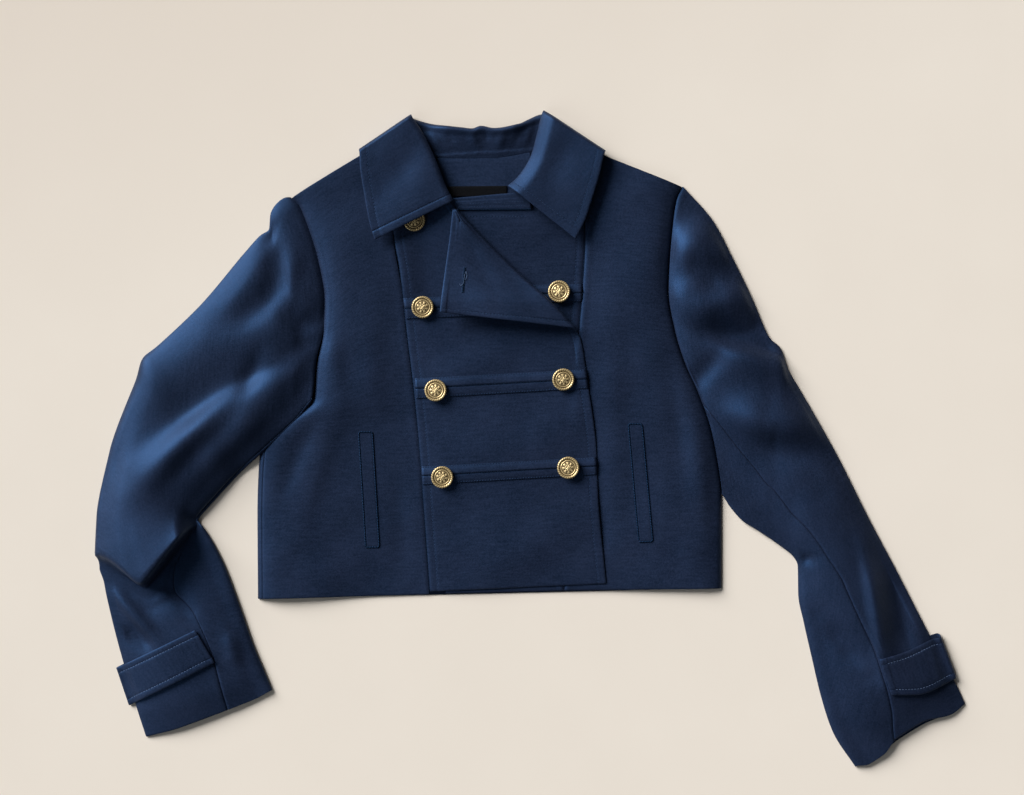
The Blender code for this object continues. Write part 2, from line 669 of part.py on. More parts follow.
def lay_band(name, material, collection):
    """Slit band on the front: its upper lip stands a little over its lower one."""
    points = settle(loft(BAND_ROWS[name], row_count=4, col_count=12), reach=6.0, passes=1)
    points[2:4, :, 2] += BAND_LIP
    make_sheet(name, points, material, collection)
    remember(name, points)


def lay_revers(material, collection):
    """Turned-back corner: rolled along its fold, its free edge standing off the front."""
    row_count, col_count = 10, 10
    points = settle(loft(REVERS, row_count, col_count), 9.0)
    for row in range(row_count + 1):
        free = 1.0 - row / row_count
        for col in range(col_count + 1):
            share = col / col_count
            stand_off = (REVERS_STAND * (1.0 - share) + REVERS_LIFT) * free
            roll = REVERS_ROLL * math.sin(math.pi * share) * share
            points[row, col, 2] += stand_off * ease(2.0 * (1.0 - share)) + roll
    make_sheet("front_right_revers", points, material, collection)
    remember("front_right_revers", points)


def seat_button(place, material, collection):
    """Turned metal button, its foot just clear of the cloth."""
    under_foot = rest_height(place.x, place.y, FOOT_REACH)
    under_rim = rest_height(place.x, place.y, BUTTON_RADIUS) - FOOT_RISE
    foot = max(under_foot, under_rim) - CLOTH / 2.0
    mesh_builder = bmesh.new()
    previous = None
    for row in BUTTON_PROFILE:
        vertex = mesh_builder.verts.new((row.radius * METRES, 0.0, row.height * METRES))
        if previous is not None:
            mesh_builder.edges.new((previous, vertex))
        previous = vertex
    mesh = bpy.data.meshes.new(place.name)
    mesh_builder.to_mesh(mesh)
    mesh_builder.free()
    mesh.materials.append(material)
    button = bpy.data.objects.new(place.name, mesh)
    button.location = world(place.x, place.y, foot)
    collection.objects.link(button)
    turning = button.modifiers.new("turning", "SCREW")
    turning.steps = BUTTON_STEPS
    turning.render_steps = BUTTON_STEPS
    turning.use_merge_vertices = True
    turning.merge_threshold = 0.00001
    turning.use_smooth_shade = True
    crown = np.zeros((2, 2, 3))
    half = BUTTON_RADIUS
    for row, side_y in enumerate((-half, half)):
        for col, side_x in enumerate((-half, half)):
            crown[row, col] = (place.x + side_x, place.y + side_y, foot + BUTTON_HEIGHT - CLOTH / 2.0)
    remember(place.name, crown)


def armhole_of(rows, side, foot_row):
    """Armhole edge of a front as a function of the share from shoulder to underarm."""
    edge_x, edge_y = columns(rows, (side + "_x", side + "_y"))
    top_row = len(rows) - 1
    return lambda share: np.array((edge_x(top_row + (foot_row - top_row) * share),
                                   edge_y(top_row + (foot_row - top_row) * share)))


def build():
    """Lay the blazer piece by piece, from the floor up."""
    remove_objects()
    collection = bpy.data.collections.new("cropped_blazer")
    bpy.context.scene.collection.children.link(collection)
    cloth = make_material("navy_twill", NAVY, 0.75, 0.0)
    ribbon = make_material("black_label", BLACK, 0.6, 0.0)
    gold = make_material("antique_gold", GOLD, 0.38, 1.0)

    collar = collar_points()
    behind = [row for row, station in enumerate(COLLAR) if station.side == "back"]
    collar[:, :, 2] = FLOOR
    remember("collar_behind", collar[behind])

    back = settle(back_points(row_count=20, cols_between=4), reach=24.0)
    make_sheet("back", back, cloth, collection)
    remember("back", back)
    lay_panel("collar_stand", COLLAR_STAND, cloth, collection,
              row_count=3, col_count=10, reach=6.0, beside=("back",))
    lay_panel("back_facing", BACK_FACING, cloth, collection, row_count=4, col_count=8, reach=6.0)
    lay_panel("label", LABEL, ribbon, collection, row_count=1, col_count=6, reach=3.0)
    lay_panel("front_left_side", FRONT_LEFT_SIDE, cloth, collection,
              row_count=20, col_count=6, reach=8.0)
    lay_panel("front_left_placket", FRONT_LEFT_PLACKET, cloth, collection,
              row_count=16, col_count=8, reach=10.0, beside=("front_left_side",))
    lay_panel("neckband_left", NECKBAND_LEFT, cloth, collection, row_count=2, col_count=6, reach=6.0)
    lay_band("band_left_row2", cloth, collection)
    lay_panel("front_right_side", FRONT_RIGHT_SIDE, cloth, collection,
              row_count=20, col_count=6, reach=8.0, beside=("front_left_placket",))
    lay_panel("front_right_placket", FRONT_RIGHT_PLACKET, cloth, collection,
              row_count=20, col_count=10, reach=14.0, beside=("front_right_side",))
    for name in ("band_right_row2", "band_row3", "band_row4"):
        lay_band(name, cloth, collection)
    lay_panel("welt_right", WELT_RIGHT, cloth, collection, row_count=6, col_count=2, reach=4.0)
    lay_panel("welt_left", WELT_LEFT, cloth, collection, row_count=6, col_count=2, reach=4.0)
    for place in BUTTONS:
        seat_button(place, gold, collection)
    lay_revers(cloth, collection)

    right = Sleeve(SLEEVE_RIGHT, armhole_of(FRONT_RIGHT_SIDE, "left", 4), FOLDS_RIGHT, -1.0)
    unfolded = [0, 0.5, 1, 1.5, 2, 3, 4, 5, 6, 7, 8, 11, 12, 12.5, 13, 13.5, 14, 15, 16, 17]
    lay_sleeve("sleeve_right", right, 34, unfolded, cloth, collection)
    left = Sleeve(SLEEVE_LEFT, armhole_of(FRONT_LEFT_SIDE, "right", 2), FOLDS_LEFT, 1.0)
    halves = [step / 2.0 for step in range(2 * len(SLEEVE_LEFT) - 1)]
    lay_sleeve("sleeve_left", left, 28, halves, cloth, collection)
    lay_tab("cuff_tab_right", TAB_RIGHT, 0, cloth, collection)
    lay_tab("cuff_tab_left", TAB_LEFT, 2, cloth, collection)
    finish_collar(collar, cloth, collection)


build()
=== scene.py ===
# %% [markdown]
# # A cropped blazer, laid out flat
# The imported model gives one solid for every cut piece. This lesson dresses that skeleton:
# each solid is replaced by a finer sheet of cloth that lies in the same place, with the folds,
# seams and stitches that the coarse solid leaves out.

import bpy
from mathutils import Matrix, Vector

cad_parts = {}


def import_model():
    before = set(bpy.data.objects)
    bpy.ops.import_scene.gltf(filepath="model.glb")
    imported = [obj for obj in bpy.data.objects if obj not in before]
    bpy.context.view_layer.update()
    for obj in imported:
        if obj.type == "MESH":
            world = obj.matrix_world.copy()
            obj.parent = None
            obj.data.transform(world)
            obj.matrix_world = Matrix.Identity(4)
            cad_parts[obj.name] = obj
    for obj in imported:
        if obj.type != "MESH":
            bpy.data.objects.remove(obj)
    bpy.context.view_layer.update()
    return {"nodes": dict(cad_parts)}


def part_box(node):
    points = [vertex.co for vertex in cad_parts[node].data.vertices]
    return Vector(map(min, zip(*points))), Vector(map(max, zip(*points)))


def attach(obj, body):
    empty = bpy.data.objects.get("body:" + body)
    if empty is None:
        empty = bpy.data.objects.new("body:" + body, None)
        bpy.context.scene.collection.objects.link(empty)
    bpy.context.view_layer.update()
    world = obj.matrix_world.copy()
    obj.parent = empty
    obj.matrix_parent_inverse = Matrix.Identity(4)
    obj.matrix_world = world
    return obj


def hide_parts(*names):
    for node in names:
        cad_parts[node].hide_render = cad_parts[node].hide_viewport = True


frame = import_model()
print("solids in the frame:", len(frame["nodes"]))

# %% [markdown]
# ## Tools
# Blender's bmesh shapes meshes with operators, and mathutils turns and measures. NumPy works on
# a whole grid of points at once. That keeps the code for cloth short, and quick to run.

# %% Tools of the lesson
import math
from collections import namedtuple

import bmesh
import bpy
import numpy as np
from mathutils import Matrix, Vector
from mathutils.bvhtree import BVHTree

print("Blender", bpy.app.version_string)

# %% [markdown]
# ## The lay plan
# The blazer was drawn on a plan in millimetres, x to the right and y down towards the hem.
# One function turns plan points into the frame's metres, so every table below can be read
# like a pattern sheet.

# %% Plan to frame
PLAN_X, PLAN_Y = 530.2, 438.8     # plan point over the frame's origin
MM = 0.001                        # metres in a millimetre
SOLID_CLOTH = 1.2                 # thickness of the frame's solids
CLOTH = 0.9                       # thickness of the dressed cloth
SOLID_FLOOR = SOLID_CLOTH / 2
SOLID_STEP = 1.5                  # rise from one solid layer to the next


def world(x, y, z):
    """Plan millimetres to frame metres."""
    return Vector(((x - PLAN_X) * MM, (PLAN_Y - y) * MM, z * MM))


print("plan point over the origin:", PLAN_X, PLAN_Y)

# %% [markdown]
# ## Camera
# The blazer is looked at from straight above. The lens could be found by trial, but it follows
# from the camera's height and from how much floor the picture takes in, so it is worked out.

# %% Camera
CAMERA_HEIGHT = 1.9               # metres
PICTURE_WIDTH = 1.024             # floor that the picture takes in, metres
PICTURE_MIDDLE = (512.0, 397.5)   # plan point under the camera
SENSOR = 36.0                     # millimetres
camera_data = bpy.data.cameras.new("overhead")
camera_data.sensor_width = SENSOR
camera_data.lens = SENSOR * CAMERA_HEIGHT / PICTURE_WIDTH
camera = bpy.data.objects.new("overhead", camera_data)
camera.location = world(*PICTURE_MIDDLE, CAMERA_HEIGHT / MM)
bpy.context.scene.collection.objects.link(camera)
bpy.context.scene.camera = camera
bpy.context.scene.view_settings.view_transform = "Standard"
print("lens", round(camera_data.lens, 1))

# %% [markdown]
# ## Soft lights
# Daylight comes in softly from the upper left, with a weaker, cooler light from the lower left.
# Area lamps could do this, but their light changes across a garment almost a metre wide. A sun
# lamp with a wide angle throws the same soft shadow everywhere.

# %% Soft lights
Lamp = namedtuple("Lamp", "name come_from softness strength colour")
LAMPS = [
    Lamp("key", (-1.0, 0.82, 0.68), 38.0, 6.0, (1.0, 0.98, 0.96)),
    Lamp("window", (-0.9, -0.7, 0.75), 50.0, 0.45, (0.86, 0.94, 1.0)),
]
LAMP_DISTANCE = 2.0               # metres; a sun lamp shines alike from any distance
ROOM_COLOUR, ROOM_STRENGTH = (1.0, 0.97, 0.94, 1.0), 0.06
for lamp in LAMPS:
    light = bpy.data.lights.new(lamp.name, "SUN")
    light.angle = math.radians(lamp.softness)
    light.energy = lamp.strength
    light.color = lamp.colour
    holder = bpy.data.objects.new(lamp.name, light)
    holder.location = Vector(lamp.come_from) * LAMP_DISTANCE
    holder.rotation_euler = (-Vector(lamp.come_from)).to_track_quat("-Z", "Y").to_euler()
    bpy.context.scene.collection.objects.link(holder)
room = bpy.data.worlds.new("room")
room.use_nodes = True
background = room.node_tree.nodes["Background"]
background.inputs["Color"].default_value = ROOM_COLOUR
background.inputs["Strength"].default_value = ROOM_STRENGTH
bpy.context.scene.world = room
print("lamps:", ", ".join(lamp.name for lamp in LAMPS))

# %% [markdown]
# ## Finishes as expressions
# A finish is a small network of shader nodes. A wrapped socket lets the network be written as
# ordinary Python arithmetic: each operator adds one Math node.


# %% Wrapped sockets
class Socket:
    """Output of a shader node that can stand in an expression."""

    def __init__(self, finish, output):
        self.finish = finish
        self.output = output

    def maths(self, operation, first, second=0.0):
        return self.finish.node("ShaderNodeMath", {"operation": operation}, {0: first, 1: second})

    def __add__(self, other):
        return self.maths("ADD", self, other)

    __radd__ = __add__

    def __sub__(self, other):
        return self.maths("SUBTRACT", self, other)

    def __rsub__(self, other):
        return self.maths("SUBTRACT", other, self)

    def __mul__(self, other):
        return self.maths("MULTIPLY", self, other)

    __rmul__ = __mul__

    def wave(self):
        return self.maths("SINE", self)


# %% [markdown]
# ## A finish
# Every finish starts from one Principled shader. Nodes could be added one by one in the editor;
# here one method adds any kind of node, sets it up, and then fills its sockets.


# %% Finish maker
class Finish:
    """A material and the one method that adds nodes to it."""

    def __init__(self, name):
        self.material = bpy.data.materials.new(name)
        self.material.use_nodes = True
        self.tree = self.material.node_tree
        self.shader = self.tree.nodes["Principled BSDF"]

    def node(self, kind, settings=None, inputs=None, output=0):
        made = self.tree.nodes.new(kind)
        for name, value in (settings or {}).items():
            setattr(made, name, value)
        for key, value in (inputs or {}).items():
            self.feed(made.inputs[key], value)
        return Socket(self, made.outputs[output])

    def feed(self, target, value):
        if isinstance(value, Socket):
            self.tree.links.new(value.output, target)
        else:
            target.default_value = value

    def mix(self, factor, first, second):
        return self.node("ShaderNodeMix", {"data_type": "RGBA"}, {0: factor, 6: first, 7: second}, 2)

    def set(self, **values):
        for name, value in values.items():
            self.feed(self.shader.inputs[name.replace("_", " ")], value)


# %% [markdown]
# ## Navy twill
# The cloth is a dense cotton twill with a satin face: nearly black where it faces away from the
# light and clear blue where it catches it. A tinted highlight and a little sheen give that
# change. Colour alone could not: it looks the same from every side. The diagonal ribs of the
# weave follow each piece's own grain through its UV map.

# %% Twill finish
RIB = 0.75                        # width of a twill rib, millimetres


def twill(name, deep, lit, thread=False):
    """Dyed cotton; thread leaves out the ribs."""
    finish = Finish(name)
    grain = finish.node("ShaderNodeUVMap", {"uv_map": "grain"})
    across = finish.node("ShaderNodeSeparateXYZ", inputs={0: grain}, output=0)
    along = finish.node("ShaderNodeSeparateXYZ", inputs={0: grain}, output=1)
    place = finish.node("ShaderNodeTexCoord", output=3)
    cloudy = finish.node("ShaderNodeTexNoise", inputs={"Vector": place, "Scale": 22.0, "Detail": 3.0})
    fine = finish.node("ShaderNodeTexNoise", inputs={"Vector": place, "Scale": 620.0, "Detail": 3.0})
    streaks = finish.node("ShaderNodeTexNoise", inputs={
        "Vector": finish.node("ShaderNodeCombineXYZ", inputs={0: across * 60.0, 1: along * 420.0}),
        "Scale": 1.0, "Detail": 2.0})
    shade = cloudy * 1.0 + fine * 1.6 + streaks * 0.8 - 1.2
    finish.set(Base_Color=finish.mix(shade, deep, lit))
    finish.set(Roughness=0.44 + streaks * 0.10 + fine * 0.06)
    ribs = ((across + along) * (2.0 * math.pi / (RIB * MM))).wave()
    crumple = finish.node("ShaderNodeTexNoise", inputs={"Vector": place, "Scale": 130.0, "Detail": 2.0})
    height = fine * 0.5 + streaks * 0.4 + crumple * 1.2
    if not thread:
        height = height + ribs * 0.10
    bump = finish.node("ShaderNodeBump", inputs={"Strength": 0.45, "Distance": 0.0003, "Height": height})
    finish.set(Normal=bump)
    finish.set(Specular_IOR_Level=0.56, Specular_Tint=(0.10, 0.38, 1.0, 1.0))
    finish.set(Sheen_Weight=0.03, Sheen_Roughness=0.4, Sheen_Tint=(0.2, 0.45, 1.0, 1.0))
    return finish.material


navy = twill("navy_twill", (0.0054, 0.0072, 0.0148, 1.0), (0.0160, 0.0212, 0.0440, 1.0))
pale_thread = twill("pale_thread", (0.07, 0.10, 0.18, 1.0), (0.11, 0.16, 0.26, 1.0), thread=True)
# painted shade: a near-black thread, far darker than the cloth, laid where seams and slits lie in shade
painted_shade_thread = twill("painted_shade_thread", (0.0010, 0.0013, 0.0024, 1.0), (0.0024, 0.0032, 0.0060, 1.0),
                    thread=True)
navy_thread = twill("navy_thread", (0.012, 0.020, 0.042, 1.0), (0.020, 0.034, 0.070, 1.0), thread=True)
print("navy twill:", len(navy.node_tree.nodes), "nodes")

# %% [markdown]
# ## Black ribbon
# The strip in the neck is plain black satin ribbon. It takes little light, so its shine is kept
# low. Its fine ribs could be modelled, but they are far below a millimetre, so a bump does.


# %% Label finish
RIBBON_RIB = 0.6                  # width of a rib, millimetres


def ribbon(name):
    """Black satin with fine cross ribs."""
    finish = Finish(name)
    grain = finish.node("ShaderNodeUVMap", {"uv_map": "grain"})
    along = finish.node("ShaderNodeSeparateXYZ", inputs={0: grain}, output=1)
    place = finish.node("ShaderNodeTexCoord", output=3)
    fine = finish.node("ShaderNodeTexNoise", inputs={"Vector": place, "Scale": 700.0, "Detail": 2.0})
    finish.set(Base_Color=finish.mix(fine, (0.0010, 0.0013, 0.0022, 1.0), (0.0030, 0.0038, 0.0058, 1.0)))
    finish.set(Roughness=0.42 + fine * 0.14, Specular_IOR_Level=0.1)
    ribs = (along * (2.0 * math.pi / (RIBBON_RIB * MM))).wave()
    finish.set(Normal=finish.node("ShaderNodeBump", inputs={
        "Strength": 0.2, "Distance": 0.0002, "Height": ribs * 0.5 + fine}))
    return finish.material


black_satin = ribbon("black_satin")
print("ribbon:", len(black_satin.node_tree.nodes), "nodes")

# %% [markdown]
# ## Old gold
# The buttons are cast metal with a gold finish, bright on the raised parts and dark in the
# hollows. A height map could tell the two apart, but the button's own mesh already knows how
# deep each point lies, so the finish reads that from an attribute.


# %% Gold finish
def cast_gold(name):
    """Gold that darkens with the attribute hollow."""
    finish = Finish(name)
    hollow = finish.node("ShaderNodeAttribute", {"attribute_name": "hollow"}, output=2)
    place = finish.node("ShaderNodeTexCoord", output=3)
    wear = finish.node("ShaderNodeTexNoise", inputs={"Vector": place, "Scale": 420.0, "Detail": 4.0})
    shade = hollow * 1.15 + wear * 0.25 - 0.12
    finish.set(Base_Color=finish.mix(shade, (0.98, 0.77, 0.40, 1.0), (0.070, 0.040, 0.014, 1.0)))
    finish.set(Roughness=0.30 + shade * 0.30)
    finish.set(Metallic=0.66 - hollow * 0.20)
    finish.set(Normal=finish.node("ShaderNodeBump", inputs={
        "Strength": 0.15, "Distance": 0.0002, "Height": wear}))
    return finish.material


gold = cast_gold("antique_gold")
print("gold:", len(gold.node_tree.nodes), "nodes")

# %% [markdown]
# ## The floor
# A plain pale surface, a warm off-white with the faintest mottling. Shade is painted into its
# colour: it grows a little darker towards one corner, as a floor does away from the window. The
# helper that turns a bmesh into an object is needed here for the first time.

# %% Floor
FLOOR_SIZE = 6.0                  # metres


def place_mesh(name, builder, finish):
    """Turn a finished bmesh into an object of the scene."""
    mesh = bpy.data.meshes.new(name)
    builder.to_mesh(mesh)
    builder.free()
    mesh.materials.append(finish)
    mesh.shade_smooth()
    made = bpy.data.objects.new(name, mesh)
    bpy.context.scene.collection.objects.link(made)
    return made


pale = Finish("pale_floor")
floor_place = pale.node("ShaderNodeTexCoord", output=3)
mottle = pale.node("ShaderNodeTexNoise", inputs={"Vector": floor_place, "Scale": 9.0, "Detail": 5.0})
lit_floor = pale.mix(mottle, (0.765, 0.706, 0.630, 1.0), (0.802, 0.744, 0.668, 1.0))
east = pale.node("ShaderNodeSeparateXYZ", inputs={0: floor_place}, output=0)
north = pale.node("ShaderNodeSeparateXYZ", inputs={0: floor_place}, output=1)
# painted shade: the floor's colour grows darker towards the top left, to the north and west
painted_shade = north * 1.4 - east * 0.45 - 0.35
pale.set(Base_Color=pale.mix(painted_shade, lit_floor, (0.66, 0.585, 0.51, 1.0)))
pale.set(Roughness=0.8 + mottle * 0.1, Specular_IOR_Level=0.2)
floor_builder = bmesh.new()
bmesh.ops.create_grid(floor_builder, x_segments=8, y_segments=8, size=FLOOR_SIZE / 2.0)
floor = place_mesh("floor", floor_builder, pale.material)
print("floor:", FLOOR_SIZE, "m square")

# %% [markdown]
# ## Smooth curves through the pattern's points
# A panel is drawn by a few sections. Blender's own curves could join them, but they overshoot
# beside a corner. A curve that never overshoots keeps straight edges straight and rounds the
# bends, as a pattern cutter's ruler does.


# %% Curves
def curve(knots, values):
    """Smooth function through the values at the knots, for one place or many."""
    knots = np.asarray(knots, dtype=float)
    values = np.asarray(values, dtype=float)
    steps = np.diff(values) / np.diff(knots)
    slopes = np.zeros(len(values))
    slopes[0], slopes[-1] = steps[0], steps[-1]
    for index in range(1, len(values) - 1):
        before, after = steps[index - 1], steps[index]
        if before * after > 0.0:
            slopes[index] = 2.0 * before * after / (before + after)

    def at(place):
        place = np.asarray(place, dtype=float)
        index = np.clip(np.searchsorted(knots, place) - 1, 0, len(knots) - 2)
        span = knots[index + 1] - knots[index]
        share = (place - knots[index]) / span
        rest = 1.0 - share
        return ((1.0 + 2.0 * share) * rest * rest * values[index]
                + share * rest * rest * span * slopes[index]
                + share * share * (3.0 - 2.0 * share) * values[index + 1]
                - share * share * rest * span * slopes[index + 1])
    return at


def ease(value):
    """Smooth step from 0 to 1."""
    value = np.clip(value, 0.0, 1.0)
    return value * value * (3.0 - 2.0 * value)


def spread(length, near, far, count):
    """Distances across a piece: the given ones at both edges, even ones between."""
    near, far = np.array(near), np.array(far)
    squeeze = min(1.0, 0.9 * length / (near[-1] + far[-1]))
    near, far = near * squeeze, far * squeeze
    middle = np.linspace(near[-1], length - far[-1], count + 2)[1:-1]
    return np.concatenate([near, middle, (length - far)[::-1]])


def bell(distance, width):
    """Smooth hump of height 1."""
    return np.exp(-(distance / width) ** 2)


print("curve half way:", float(curve((0.0, 1.0, 2.0), (0.0, 1.0, 1.0))(0.5)))

# %% [markdown]
# ## Edges
# What makes flat cloth look sewn is its edges. A seam dips where two pieces meet, a folded edge
# rolls down, and a row of topstitching pulls a narrow groove. These could be strips of their own,
# but bending the grid keeps each piece whole, so it only gets extra lines there.

# %% Edge lines and profiles
RAW = (0.0, 2.5)
SEAM = (0.0, 0.5, 1.1, 1.9, 3.0, 4.5, 6.0)
SIDE_SEAM = (0.0, 0.6, 1.6, 3.2, 4.2, 4.7, 5.2, 5.7, 6.6, 8.0)
FOLDED = (0.0, 0.3, 0.8, 1.6, 2.8, 4.5)
STITCH_NEAR = 5.6                 # topstitching on tabs and the turned-back corner
NEAR_STITCHED = (0.0, 0.3, 0.8, 1.6, 2.8, 4.0, 4.9, 5.3, STITCH_NEAR, 5.9, 6.3, 7.2, 9.0)
STITCH_FAR = 8.0                  # topstitching on the collar and the placket
FAR_STITCHED = (0.0, 0.3, 0.8, 1.6, 2.8, 4.5, 6.2, 7.2, 7.6, STITCH_FAR, 8.4, 8.8, 9.8, 12.0)


SEAM_DEPTH, SEAM_WIDTH = 0.60, 1.1
PUCKER, PUCKER_AT, PUCKER_WIDTH = 0.22, 4.0, 2.2    # low ridge beside a seam
EDGE_DROP, EDGE_RUN = 0.45, 1.4
GROOVE_WIDTH = 0.7


def seam_dip(distance):
    """Height beside a seam."""
    return -SEAM_DEPTH * bell(distance, SEAM_WIDTH) + PUCKER * bell(distance - PUCKER_AT, PUCKER_WIDTH)


def folded_edge(distance):
    """Height beside an edge that is folded under."""
    return -EDGE_DROP * np.clip(1.0 - distance / EDGE_RUN, 0.0, 1.0) ** 2


def stitched(distance, place, depth=0.28):
    """Groove of a row of stitches, and the soft ridge between it and the edge."""
    groove = -depth * bell(distance - place, GROOVE_WIDTH)
    return groove + 0.2 * depth * bell(distance - 0.5 * place, 0.3 * place)


print("seam depth:", round(float(-seam_dip(0.0)), 2), "mm")

# %% [markdown]
# ## Folds
# A fold is a line on the plan with a soft ridge or trough along it. Each side has its own width,
# so one flank can be steep and the other gentle, as on real cloth. Folds could be sculpted with a
# brush, but a line in a table can be read, moved and drawn again.

# %% Fold field
Fold = namedtuple("Fold", "path left right height")
FOLD_END = 0.25                   # share of a fold's height that is left at its ends
FOLD_TAPER = 0.4                  # share of its length over which it gets there


def fold_field(folds, x, y):
    """Sum of the ridges and troughs at plan points; each dies out towards its ends."""
    total = np.zeros_like(x)
    for fold in folds:
        nearest = np.full_like(x, 1.0e6)
        sideways = np.zeros_like(x)
        reached = np.zeros_like(x)
        passed = 0.0
        for (from_x, from_y), (to_x, to_y) in zip(fold.path[:-1], fold.path[1:]):
            run_x, run_y = to_x - from_x, to_y - from_y
            length = math.hypot(run_x, run_y)
            along = np.clip(((x - from_x) * run_x + (y - from_y) * run_y) / length ** 2, 0.0, 1.0)
            off_x, off_y = x - from_x - along * run_x, y - from_y - along * run_y
            distance = np.hypot(off_x, off_y)
            lateral = (off_y * run_x - off_x * run_y) / length
            closer = distance < nearest
            sideways = np.where(closer, lateral, sideways)
            reached = np.where(closer, passed + along * length, reached)
            nearest = np.where(closer, distance, nearest)
            passed += length
        lean = sideways / np.maximum(nearest, 1.0e-6)
        width = 0.5 * (fold.left + fold.right) + 0.5 * (fold.right - fold.left) * lean
        fade = FOLD_TAPER * passed
        taper = FOLD_END + (1.0 - FOLD_END) * ease(reached / fade) * ease((passed - reached) / fade)
        total += fold.height * taper * bell(nearest, width)
    return total


def unevenness(x, y, size):
    """Slow waviness that no laid cloth is without."""
    return size * (np.sin(x / 23.0 + 1.7 * np.sin(y / 47.0)) * 0.5
                   + np.sin(y / 31.0 + 1.3 * np.sin(x / 39.0) + 0.8) * 0.5
                   + np.sin((x + y) / 13.0 + np.sin(y / 29.0)) * 0.22)


sample_fold = Fold([(0.0, 0.0), (100.0, 0.0)], 10.0, 10.0, 5.0)
print("height on a fold:", fold_field([sample_fold], np.array([50.0]), np.array([0.0])))

# %% [markdown]
# ## Heights of the solids
# A sheet takes its height from the solid that it stands for. The height is read by casting a ray
# straight down at each point of the grid, and then smoothed, because the solid is coarse.

# %% Heights
solid_trees = {}
CAST = 200.0                      # height from which heights are read, millimetres
NEAR_CAST = 12.0                  # height from which the nearest point is looked for
DOWN = Vector((0.0, 0.0, -1.0))


def solid_middle(node, x, y):
    """Middle height of a frame solid under plan points."""
    if node not in solid_trees:
        mesh = frame["nodes"][node].data
        corners = [vertex.co.copy() for vertex in mesh.vertices]
        solid_trees[node] = BVHTree.FromPolygons(corners, [face.vertices[:] for face in mesh.polygons])
    tree = solid_trees[node]
    heights = np.zeros(x.size)
    for index, (px, py) in enumerate(zip(x.ravel(), y.ravel())):
        hit = tree.ray_cast(world(px, py, CAST), DOWN)[0]
        if hit is None:
            hit = tree.find_nearest(world(px, py, NEAR_CAST))[0]
        heights[index] = hit.z / MM
    return heights.reshape(x.shape) - SOLID_CLOTH / 2.0


def smooth(heights, passes):
    """Mean of the four neighbours, again and again."""
    for _ in range(passes):
        padded = np.pad(heights, 1, mode="edge")
        heights = (padded[:-2, 1:-1] + padded[2:, 1:-1] + padded[1:-1, :-2] + padded[1:-1, 2:]) / 4.0
    return heights


print("back lies at", solid_middle("back", np.array([530.0]), np.array([500.0])), "mm")

# %% [markdown]
# ## Layers
# Cloth is laid on cloth, so each sheet has to clear those below it. Blender's cloth solver could
# let the pieces fall on each other, but then the creases would fall where they like. Here the
# middle of every sheet laid so far is kept, and a new sheet is lifted off it.

# %% Layers
laid = {}                         # middle surface of each sheet laid so far
PROBE_REACH = 2.5                 # how far to each side a lower sheet is looked for
NOTHING_BELOW = -10.0
LAYER_GAP = 0.15                  # air between two layers


def remember(name, x, y, z):
    """Keep the middle surface of a sheet."""
    rows, cols = x.shape
    corners = [Vector(point) for point in np.stack([x, y, z], axis=-1).reshape(-1, 3)]
    quads = []
    for row in range(rows - 1):
        for col in range(cols - 1):
            first = row * cols + col
            quads.append((first, first + 1, first + cols + 1, first + cols))
    laid[name] = BVHTree.FromPolygons(corners, quads)


def under_middle(names, x, y, reach=PROBE_REACH):
    """Highest middle surface of the named sheets within reach of plan points."""
    probes = [(0.0, 0.0), (reach, 0.0), (-reach, 0.0), (0.0, reach), (0.0, -reach)]
    heights = np.full(x.size, NOTHING_BELOW)
    for index, (px, py) in enumerate(zip(x.ravel(), y.ravel())):
        for name in names:
            for off_x, off_y in probes:
                hit = laid[name].ray_cast(Vector((px + off_x, py + off_y, CAST)), DOWN)[0]
                if hit is not None:
                    heights[index] = max(heights[index], hit.z)
    return heights.reshape(x.shape)


def clear_of(names, x, y, z):
    """Lift a sheet off the named ones, with soft ramps."""
    lowest = under_middle(names, x, y) + CLOTH + LAYER_GAP
    lifted = np.maximum(z, lowest)
    for _ in range(3):
        lifted = np.maximum(np.maximum(z, lowest), smooth(lifted, 1))
    return lifted


# %% [markdown]
# ## Making a sheet
# A sheet starts as a flat grid whose points are moved to their places. Its UV map holds distances
# along the cloth, so the weave keeps its size in every fold. Solidify gives the sheet its wall, the
# solid that it stands for is hidden, and how large it was cut is printed.

# %% Sheets
def grain_of(x, y, z):
    """Distances along the cloth's own rows and columns, metres."""
    points = np.stack([x, y, z], axis=-1) * MM
    across = np.zeros(x.shape)
    across[:, 1:] = np.cumsum(np.linalg.norm(np.diff(points, axis=1), axis=-1), axis=1)
    across -= across[:, -1:] / 2.0
    along = np.zeros(x.shape)
    along[1:, :] = np.cumsum(np.linalg.norm(np.diff(points, axis=0), axis=-1), axis=0)
    return across, along


def make_sheet(name, x, y, z, finish, wall):
    """Grid moved to its plan points, with its grain as a UV map and a wall from Solidify."""
    rows, cols = x.shape
    across, along = grain_of(x, y, z)
    builder = bmesh.new()
    bmesh.ops.create_grid(builder, x_segments=cols - 1, y_segments=rows - 1, size=0.5)
    grain = builder.loops.layers.uv.new("grain")
    for vertex in builder.verts:
        col = round((vertex.co.x + 0.5) * (cols - 1))
        row = round((vertex.co.y + 0.5) * (rows - 1))
        vertex.co = world(x[row, col], y[row, col], z[row, col])
        for loop in vertex.link_loops:
            loop[grain].uv = (across[row, col], along[row, col])
    sheet = place_mesh(name, builder, finish)
    shell = sheet.modifiers.new("wall", "SOLIDIFY")
    shell.thickness = wall * MM
    shell.offset = 0.0
    return sheet


MOST_LINES = 80                   # percentile of its lines that gives a cut's width and length


